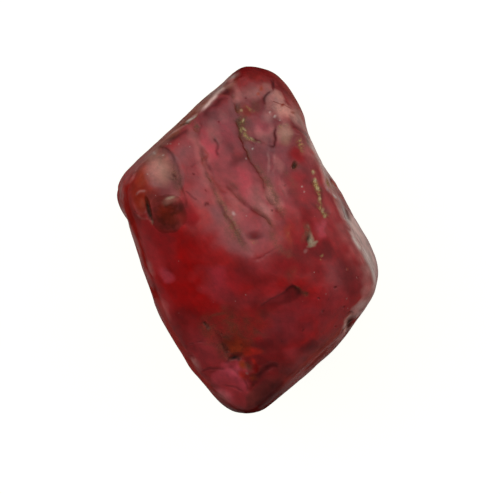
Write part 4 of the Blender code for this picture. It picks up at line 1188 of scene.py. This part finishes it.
@dataclass(frozen=True)
class SpinelFinish:
    """Natural spinel, waterworn: red crystal under a skin that is frosted, stained and pitted.

    It is see-through but never clear: the frosted skin blurs the light that comes through,
    and the upper face gives back a soft pale haze, to which a painted mauve sheen is added.
    """

    name: str = "waterworn red spinel"
    ior: float = 1.718  # spinel
    absorbed: str = "#F00000"
    density: float = 1150.0  # per metre of crystal
    grain: float = 0.035  # mm, the frosting's grain, which is finer still but wouldn't show
    mottle: float = 0.5  # mm, the skin's cloudy patches
    streak: float = 0.13  # mm across, the skin's fine growth lines
    streak_turn: float = -67.0  # degrees
    streak_length: float = 6.0  # times as long as across
    streak_height: float = 0.35  # against the grain's
    streak_shade: float = 0.25  # against the mottle's
    relief: float = 0.012  # mm, the height of grain and growth lines
    relief_strength: float = 0.35
    clouds: ToneRange = (0.4, 0.85, 0.55, 1.22)
    grains: ToneRange = (0.38, 0.62, 0.25, 1.9)  # where the skin is gritty
    speck: float = 0.3  # mm from one place for a speck to the next
    speck_edge: tuple[float, float] = (0.03, 0.07)  # in those, from where a speck fades to where it ends
    pale_speck: str = "#D8B0A8"
    pale_above: float = 0.8  # the places that draw more than this have a pale speck
    dark_speck: str = "#300A0C"
    dark_below: float = 0.2  # and those that draw less than this a dark one

    def material(self) -> bpy.types.Material:
        """Build the finish.

        Returns:
            The material, which reads the piece's own attributes tone, cover, frost, grit and gloss.
        """
        material = bpy.data.materials.new(self.name)
        material.use_nodes = True
        tree = material.node_tree
        tree.nodes.clear()
        place = add_node(tree, "ShaderNodeTexCoord").outputs["Object"]
        tone = add_node(tree, "ShaderNodeAttribute", attribute_name="tone").outputs["Color"]
        cover, frost, grit, gloss = (
            add_node(tree, "ShaderNodeAttribute", attribute_name=name).outputs["Fac"] for name in LAYERS
        )
        turned = add_node(
            tree,
            "ShaderNodeMapping",
            {
                "Vector": place,
                "Rotation": (0, 0, math.radians(self.streak_turn)),
                "Scale": (self.streak_length, 1, 1),
            },
            vector_type="TEXTURE",
        ).outputs["Vector"]
        mottle, streak, grain = (
            add_node(
                tree,
                "ShaderNodeTexNoise",
                {"Vector": vector, "Scale": 1 / (size * MM), "Detail": detail, "Roughness": roughness},
            ).outputs["Fac"]
            for vector, size, detail, roughness in (
                (place, self.mottle, 8.0, 0.65),
                (turned, self.streak, 3.0, 0.6),
                (place, self.grain, 3.0, 0.6),
            )
        )
        relief = add_node(
            tree, "ShaderNodeMath", {0: streak, 1: self.streak_height, 2: grain}, operation="MULTIPLY_ADD"
        ).outputs["Value"]
        bump = add_node(
            tree,
            "ShaderNodeBump",
            {"Height": relief, "Strength": self.relief_strength, "Distance": self.relief * MM},
        ).outputs["Normal"]
        cloudy = add_node(
            tree, "ShaderNodeMath", {0: streak, 1: self.streak_shade, 2: mottle}, operation="MULTIPLY_ADD"
        ).outputs["Value"]
        shade, grains = (
            add_node(
                tree, "ShaderNodeMapRange", {"Value": value, **dict(zip(RANGE, ends))}
            ).outputs["Result"]
            for value, ends in ((cloudy, self.clouds), (grain, self.grains))
        )
        gritty = add_node(
            tree, "ShaderNodeMix", {0: grit, 2: shade, 3: grains}, data_type="FLOAT"
        ).outputs[0]
        colour = add_node(
            tree, "ShaderNodeVectorMath", {0: tone, "Scale": gritty}, operation="SCALE"
        ).outputs["Vector"]
        cells = add_node(tree, "ShaderNodeTexVoronoi", {"Vector": place, "Scale": 1 / (self.speck * MM)})
        speck = add_node(
            tree,
            "ShaderNodeMapRange",
            {"Value": cells.outputs["Distance"], **dict(zip(RANGE, (*self.speck_edge, 1.0, 0.0)))},
        ).outputs["Result"]
        draw = add_node(tree, "ShaderNodeSeparateColor", {"Color": cells.outputs["Color"]}).outputs["Red"]
        specks = []
        for operation, limit, tint in (
            ("GREATER_THAN", self.pale_above, self.pale_speck),
            ("LESS_THAN", self.dark_below, self.dark_speck),
        ):
            chosen = add_node(tree, "ShaderNodeMath", {0: draw, 1: limit}, operation=operation)
            here = add_node(
                tree, "ShaderNodeMath", {0: speck, 1: chosen.outputs["Value"]}, operation="MULTIPLY"
            ).outputs["Value"]
            colour = add_node(
                tree, "ShaderNodeMix", {0: here, 6: colour, 7: linear(tint)}, data_type="RGBA"
            ).outputs[2]
            specks.append(here)
        speckled = add_node(
            tree, "ShaderNodeMath", dict(enumerate(specks)), operation="ADD"
        ).outputs["Value"]
        cover = add_node(
            tree, "ShaderNodeMath", {0: cover, 1: speckled}, operation="MAXIMUM"
        ).outputs["Value"]
        see_through = add_node(
            tree, "ShaderNodeMath", {0: 1.0, 1: cover}, operation="SUBTRACT", use_clamp=True
        ).outputs["Value"]
        shader = add_node(
            tree,
            "ShaderNodeBsdfPrincipled",
            {
                "Base Color": colour,
                "Roughness": frost,
                "IOR": self.ior,
                "Specular IOR Level": gloss,
                "Transmission Weight": see_through,
                "Normal": bump,
            },
        )
        body = add_node(
            tree, "ShaderNodeVolumeAbsorption", {"Color": linear(self.absorbed), "Density": self.density}
        )
        add_node(
            tree,
            "ShaderNodeOutputMaterial",
            {"Surface": shader.outputs["BSDF"], "Volume": body.outputs["Volume"]},
        )
        return material


@dataclass
class WornCrystal:
    """The spinel itself: one closed, worn and marked skin."""

    name: str = "worn_spinel_crystal"
    middle: Vector = field(default_factory=lambda: Vector((0, 0, 2.5)) * MM)  # of the crystal before wear
    block: float = 16.0 * MM
    voxel: float = 0.07 * MM
    wear_steps: int = 207
    ridge_wear_steps: int = 574
    ridge_wear_reach: float = 2.2 * MM
    wear_factor: float = 0.5  # how far each step moves a point towards its neighbours' middle
    ridge_ends: tuple[float, float] = (0.06, 0.94)  # between these shares of its length the ridge is worn
    fine_facing: float = 0.45  # skin that faces further up than this gets finer faces
    fine_relax_steps: int = 4
    rest_trim: float = 0.06 * MM
    wave_length: float = 1.7 * MM
    wave_depth: float = 0.03 * MM
    growth_length: float = 0.3  # mm across the fine growth lines
    growth_stretch: float = 3.0  # how much longer they are
    growth_turn: float = -67.0  # degrees
    growth_depth: float = 0.006  # mm
    stray: float = 0.12  # how far marks stray, in mm
    stray_length: float = 0.8  # mm
    wobble_apart: tuple[int, int] = (20, 40)  # mm away, where the wobble in X and in Y is read
    jitter: float = 0.05  # mm
    jitter_length: float = 0.22  # mm
    grit_length: float = 0.09  # mm
    grit_edge: float = 2.2  # a gritty stain is thinned by this, less the slope times the grain
    grit_slope: float = 4.0
    break_length: float = 0.3  # mm
    finish: SpinelFinish = field(default_factory=SpinelFinish)

    def build(self) -> bpy.types.Object:
        """Model the crystal and dress it.

        Returns:
            The finished piece, with its place in its mesh.
        """
        piece = self.cut()
        self.wear(piece)
        self.carve(piece)
        shift = self.settle(piece)
        self.colouring(piece, shift)
        piece.data.materials.clear()
        piece.data.materials.append(self.finish.material())
        bpy.ops.object.shade_smooth()
        return piece

    def cut(self) -> bpy.types.Object:
        """Cut a block along the crystal's faces, its worn flats and the flat that it rests on.

        Returns:
            The sharp crystal.
        """
        bpy.ops.object.select_all(action="DESELECT")
        bpy.ops.mesh.primitive_cube_add(size=self.block, location=self.middle)
        piece = bpy.context.active_object
        piece.name = self.name
        piece.data.name = self.name
        bpy.ops.object.transform_apply(location=True, rotation=True, scale=True)
        bpy.ops.object.mode_set(mode="EDIT")
        bpy.ops.mesh.select_mode(type="VERT")
        for side in (*CRYSTAL_FACES, *WORN_FLATS):
            cut_away(*side.plane(self.middle))
        cut_away(Vector((0, 0, 0)), Vector((0, 0, -1)))
        bpy.ops.object.mode_set(mode="OBJECT")
        return piece

    def wear(self, piece: bpy.types.Object) -> None:
        """Rebuild the block as even small faces and relax them, the upper ridge the most.

        Args:
            piece: the sharp crystal.
        """
        apply_modifier(piece, "REMESH", mode="VOXEL", voxel_size=self.voxel)
        apply_modifier(piece, "SMOOTH", factor=self.wear_factor, iterations=self.wear_steps)
        points = self.skin(piece).points * MM
        left, right = (np.array(corner.value) * MM for corner in (Corner.FRONT_LEFT, Corner.FRONT_RIGHT))
        run = right - left
        share = np.clip((points - left) @ run / (run @ run), *self.ridge_ends)
        distance = np.linalg.norm(points - left - share[:, None] * run, axis=1)
        weights = np.clip(1 - distance / self.ridge_wear_reach, 0, 1)
        ridge = piece.vertex_groups.new(name="ridge")
        for index in np.flatnonzero(weights):
            ridge.add([int(index)], float(weights[index]), "REPLACE")
        apply_modifier(
            piece,
            "SMOOTH",
            factor=self.wear_factor,
            iterations=self.ridge_wear_steps,
            vertex_group=ridge.name,
        )
        piece.vertex_groups.clear()
        self.refine(piece)

    def refine(self, piece: bpy.types.Object) -> None:
        """Give the skin that looks up finer faces, and relax away their creases.

        Args:
            piece: the worn crystal.
        """
        for polygon in piece.data.polygons:
            polygon.select = polygon.normal.z > self.fine_facing
        bpy.ops.object.mode_set(mode="EDIT")
        bpy.ops.mesh.select_mode(type="FACE")
        bpy.ops.mesh.subdivide(number_cuts=1)
        bpy.ops.object.mode_set(mode="OBJECT")
        apply_modifier(piece, "SMOOTH", factor=self.wear_factor, iterations=self.fine_relax_steps)

    def skin(self, piece: bpy.types.Object, shift: Vector | None = None) -> Skin:
        """Read the piece's points and the directions that it faces.

        Args:
            piece: the piece.
            shift: what was added to every point since the marks' own frame.

        Returns:
            The skin in mm, in the marks' own frame.
        """
        points = np.empty(len(piece.data.vertices) * 3, np.float32)
        normals = np.empty(len(piece.data.vertices) * 3, np.float32)
        piece.data.vertices.foreach_get("co", points)
        piece.data.vertex_normals.foreach_get("vector", normals)
        places = (points.reshape(-1, 3).astype(float) - np.array(shift or (0, 0, 0))) / MM
        wobble = [
            self.unevenness(places + apart, self.stray_length) * self.stray
            + self.unevenness(places + apart, self.jitter_length) * self.jitter
            for apart in self.wobble_apart
        ]
        grit = np.clip(0.5 + self.unevenness(places, self.grit_length), 0, 1)
        breaks = np.clip(0.5 + self.unevenness(places, self.break_length), 0, 1)
        return Skin(places, normals.reshape(-1, 3).astype(float), np.array(wobble).T, grit, breaks)

    def unevenness(self, places: np.ndarray, length: float) -> np.ndarray:
        """Give a smooth random number, about -1 to 1, for each place, with humps a length apart."""
        return np.array([noise.noise(Vector(place) / length) for place in places])

    def carve(self, piece: bpy.types.Object) -> None:
        """Sink each point of the skin by the depth of the marks over it.

        Args:
            piece: the worn crystal.
        """
        skin = self.skin(piece)
        depth = sum(mark.depth * mark.share(skin) for mark in MARKS if mark.depth)
        scale = MM / self.wave_length
        waves = [noise.fractal(Vector(point) * scale, 1.0, 2.0, 3) for point in skin.points]
        depth = depth + np.array(waves) * self.wave_depth / MM + self.growth(skin) * self.growth_depth
        points = (skin.points - skin.normals * depth[:, None]) * MM
        piece.data.vertices.foreach_set("co", points.astype(np.float32).ravel())
        piece.data.update()

    def growth(self, skin: Skin) -> np.ndarray:
        """Give the height of the fine lines that growth left, about -1 to 1."""
        turn = math.radians(self.growth_turn)
        along = np.array((math.cos(turn), math.sin(turn), 0))
        places = skin.points - (1 - 1 / self.growth_stretch) * (skin.points @ along)[:, None] * along
        return np.array(
            [noise.fractal(Vector(place) / self.growth_length, 0.9, 2.0, 3) for place in places]
        )

    def settle(self, piece: bpy.types.Object) -> Vector:
        """Trim the flat that the crystal rests on true, and set it where the CAD node stands.

        Args:
            piece: the carved crystal.

        Returns:
            How far every point moved.
        """
        bpy.ops.object.mode_set(mode="EDIT")
        cut_away(Vector((0, 0, self.rest_trim)), Vector((0, 0, -1)))
        bpy.ops.mesh.select_all(action="SELECT")
        bpy.ops.mesh.quads_convert_to_tris()
        bpy.ops.object.mode_set(mode="OBJECT")
        low, high = (Vector(corner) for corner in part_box(NODE))
        points = self.skin(piece).points * MM
        middle = Vector((points.min(axis=0) + points.max(axis=0)) / 2)
        middle.z = points[:, 2].min()
        shift = Vector(((low.x + high.x) / 2, (low.y + high.y) / 2, low.z)) - middle
        bpy.ops.object.mode_set(mode="EDIT")
        bpy.ops.mesh.select_all(action="SELECT")
        bpy.ops.transform.translate(value=shift)
        bpy.ops.mesh.normals_make_consistent(inside=False)
        bpy.ops.object.mode_set(mode="OBJECT")
        return shift

    def colouring(self, piece: bpy.types.Object, shift: Vector) -> None:
        """Write the skin's tone, cover, frost, grit and gloss as the piece's own attributes.

        Args:
            piece: the settled crystal.
            shift: how far it moved from the marks' own frame.
        """
        skin = self.skin(piece, shift)
        count = len(skin.points)
        body = SkinTint.BODY.value
        tone = np.tile(np.array(linear(body.colour)), (count, 1))
        layers = {name: np.full(count, getattr(body, name)) for name in LAYERS}
        coarse = np.clip(self.grit_edge - self.grit_slope * skin.grit, 0, 1)
        for mark in MARKS:
            if mark.colouring is None:
                continue
            colouring = mark.colouring.value
            share = mark.share(skin) * mark.strength
            share *= 1 - colouring.grit * coarse
            tone += share[:, None] * (np.array(linear(colouring.colour)) - tone)
            for name, values in layers.items():
                values += share * (getattr(colouring, name) - values)
        colours = piece.data.attributes.new("tone", "FLOAT_COLOR", "POINT")
        colours.data.foreach_set("color", tone.astype(np.float32).ravel())
        for name, values in layers.items():
            layer = piece.data.attributes.new(name, "FLOAT", "POINT")
            layer.data.foreach_set("value", values.astype(np.float32))


@dataclass(frozen=True)
class SoftGlow:
    """A broad soft light in the room, brightest in its core and gone past its rim."""

    azimuth: float  # degrees
    elevation: float  # degrees
    strength: float
    rim: float  # cosine of its angle from the middle
    core: float  # the same

    def aim(self) -> tuple[float, float, float]:
        """Give the direction of its middle."""
        turn, rise = math.radians(self.azimuth), math.radians(self.elevation)
        return math.cos(turn) * math.cos(rise), math.sin(turn) * math.cos(rise), math.sin(rise)


SOFT_GLOWS = (
    SoftGlow(80, 18, 0.35, 0.55, 0.98),  # a window beyond the upper face
    SoftGlow(75, 65, 0.48, 0.5, 0.9),  # a soft box overhead
    SoftGlow(165, 42, 1.5, 0.85, 0.97),  # a lamp on the left
    SoftGlow(5, 12, 1.1, 0.8, 0.97),  # a low lamp on the right
)


@dataclass
class Studio:
    """The plain pale floor, the soft light and the camera."""

    floor_size: float = 0.6
    floor_glow: float = 0.95  # what the floor gives straight up, as a light table does
    low_glow: float = 0.05  # what it gives at low angles
    steep: float = 0.01  # Layer Weight's facing, up to which the floor gives all of its glow
    low: float = 0.15  # the same, past which it gives only the low glow
    room_glow: float = 0.05
    camera_place: tuple[float, float, float] = (0.065 * MM, -0.19 * MM, 227.5 * MM)
    lens: float = 600.0

    def floor(self) -> bpy.types.Object:
        """Lay the floor, which glows straight up and hardly sideways, so that it lights no rims.

        Returns:
            The floor.
        """
        bpy.ops.object.select_all(action="DESELECT")
        bpy.ops.mesh.primitive_plane_add(size=self.floor_size)
        floor = bpy.context.active_object
        floor.name = "floor"
        material = bpy.data.materials.new("matt white board")
        material.use_nodes = True
        shader = material.node_tree.nodes["Principled BSDF"]
        shader.inputs["Base Color"].default_value = linear("#80807E")
        shader.inputs["Roughness"].default_value = 0.9
        shader.inputs["Specular IOR Level"].default_value = 0.0
        shader.inputs["Emission Color"].default_value = linear("#FFFFFA")
        tree = material.node_tree
        facing = add_node(tree, "ShaderNodeLayerWeight", {"Blend": 0.5}).outputs["Facing"]
        glow = add_node(
            tree,
            "ShaderNodeMapRange",
            {
                "Value": facing,
                "From Min": self.steep,
                "From Max": self.low,
                "To Min": self.floor_glow,
                "To Max": self.low_glow,
            },
        ).outputs["Result"]
        tree.links.new(glow, shader.inputs["Emission Strength"])
        floor.data.materials.append(material)
        return floor

    def surroundings(self) -> None:
        """Give the room: pale to look at, dim to be lit by."""
        world = bpy.data.worlds.new("plain room")
        world.use_nodes = True
        tree = world.node_tree
        tree.nodes.clear()
        seen = add_node(tree, "ShaderNodeLightPath").outputs["Is Camera Ray"]
        direction = add_node(tree, "ShaderNodeTexCoord").outputs["Generated"]
        lit = self.room_glow
        for glow in SOFT_GLOWS:
            facing = add_node(
                tree, "ShaderNodeVectorMath", {0: direction, 1: glow.aim()}, operation="DOT_PRODUCT"
            ).outputs["Value"]
            bright = add_node(
                tree,
                "ShaderNodeMapRange",
                {"Value": facing, "From Min": glow.rim, "From Max": glow.core, "To Max": glow.strength},
                interpolation_type="SMOOTHSTEP",
            ).outputs["Result"]
            lit = add_node(tree, "ShaderNodeMath", {0: bright, 1: lit}, operation="ADD").outputs["Value"]
        strength = add_node(
            tree, "ShaderNodeMix", {0: seen, 2: lit, 3: 1.0}, data_type="FLOAT"
        ).outputs[0]
        light = add_node(
            tree, "ShaderNodeBackground", {"Color": (1.0, 1.0, 0.98, 1.0), "Strength": strength}
        )
        add_node(tree, "ShaderNodeOutputWorld", {"Surface": light.outputs["Background"]})
        bpy.context.scene.world = world

    def camera(self) -> None:
        """Hang the camera over the crystal, looking straight down through a long lens."""
        lens = bpy.data.cameras.new("camera")
        lens.lens = self.lens
        lens.clip_start = 0.01
        lens.clip_end = 10.0
        camera = bpy.data.objects.new("camera", lens)
        camera.location = self.camera_place
        bpy.context.scene.collection.objects.link(camera)
        bpy.context.scene.camera = camera

    def build(self) -> bpy.types.Object:
        """Set the studio up.

        Returns:
            The floor.
        """
        self.surroundings()
        self.camera()
        bpy.context.scene.view_settings.view_transform = "Standard"
        return self.floor()


def main() -> None:
    """Build the studio and the crystal, hang the crystal under the root body's empty and hide the CAD
    node, whose place it takes.
    """
    logging.basicConfig(level=logging.INFO, format="%(message)s")
    Studio().build()
    crystal = WornCrystal().build()
    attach(crystal, "root")
    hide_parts(NODE)
    log.info("%s: %d faces", crystal.name, len(crystal.data.polygons))


if __name__ == "__main__":
    main()
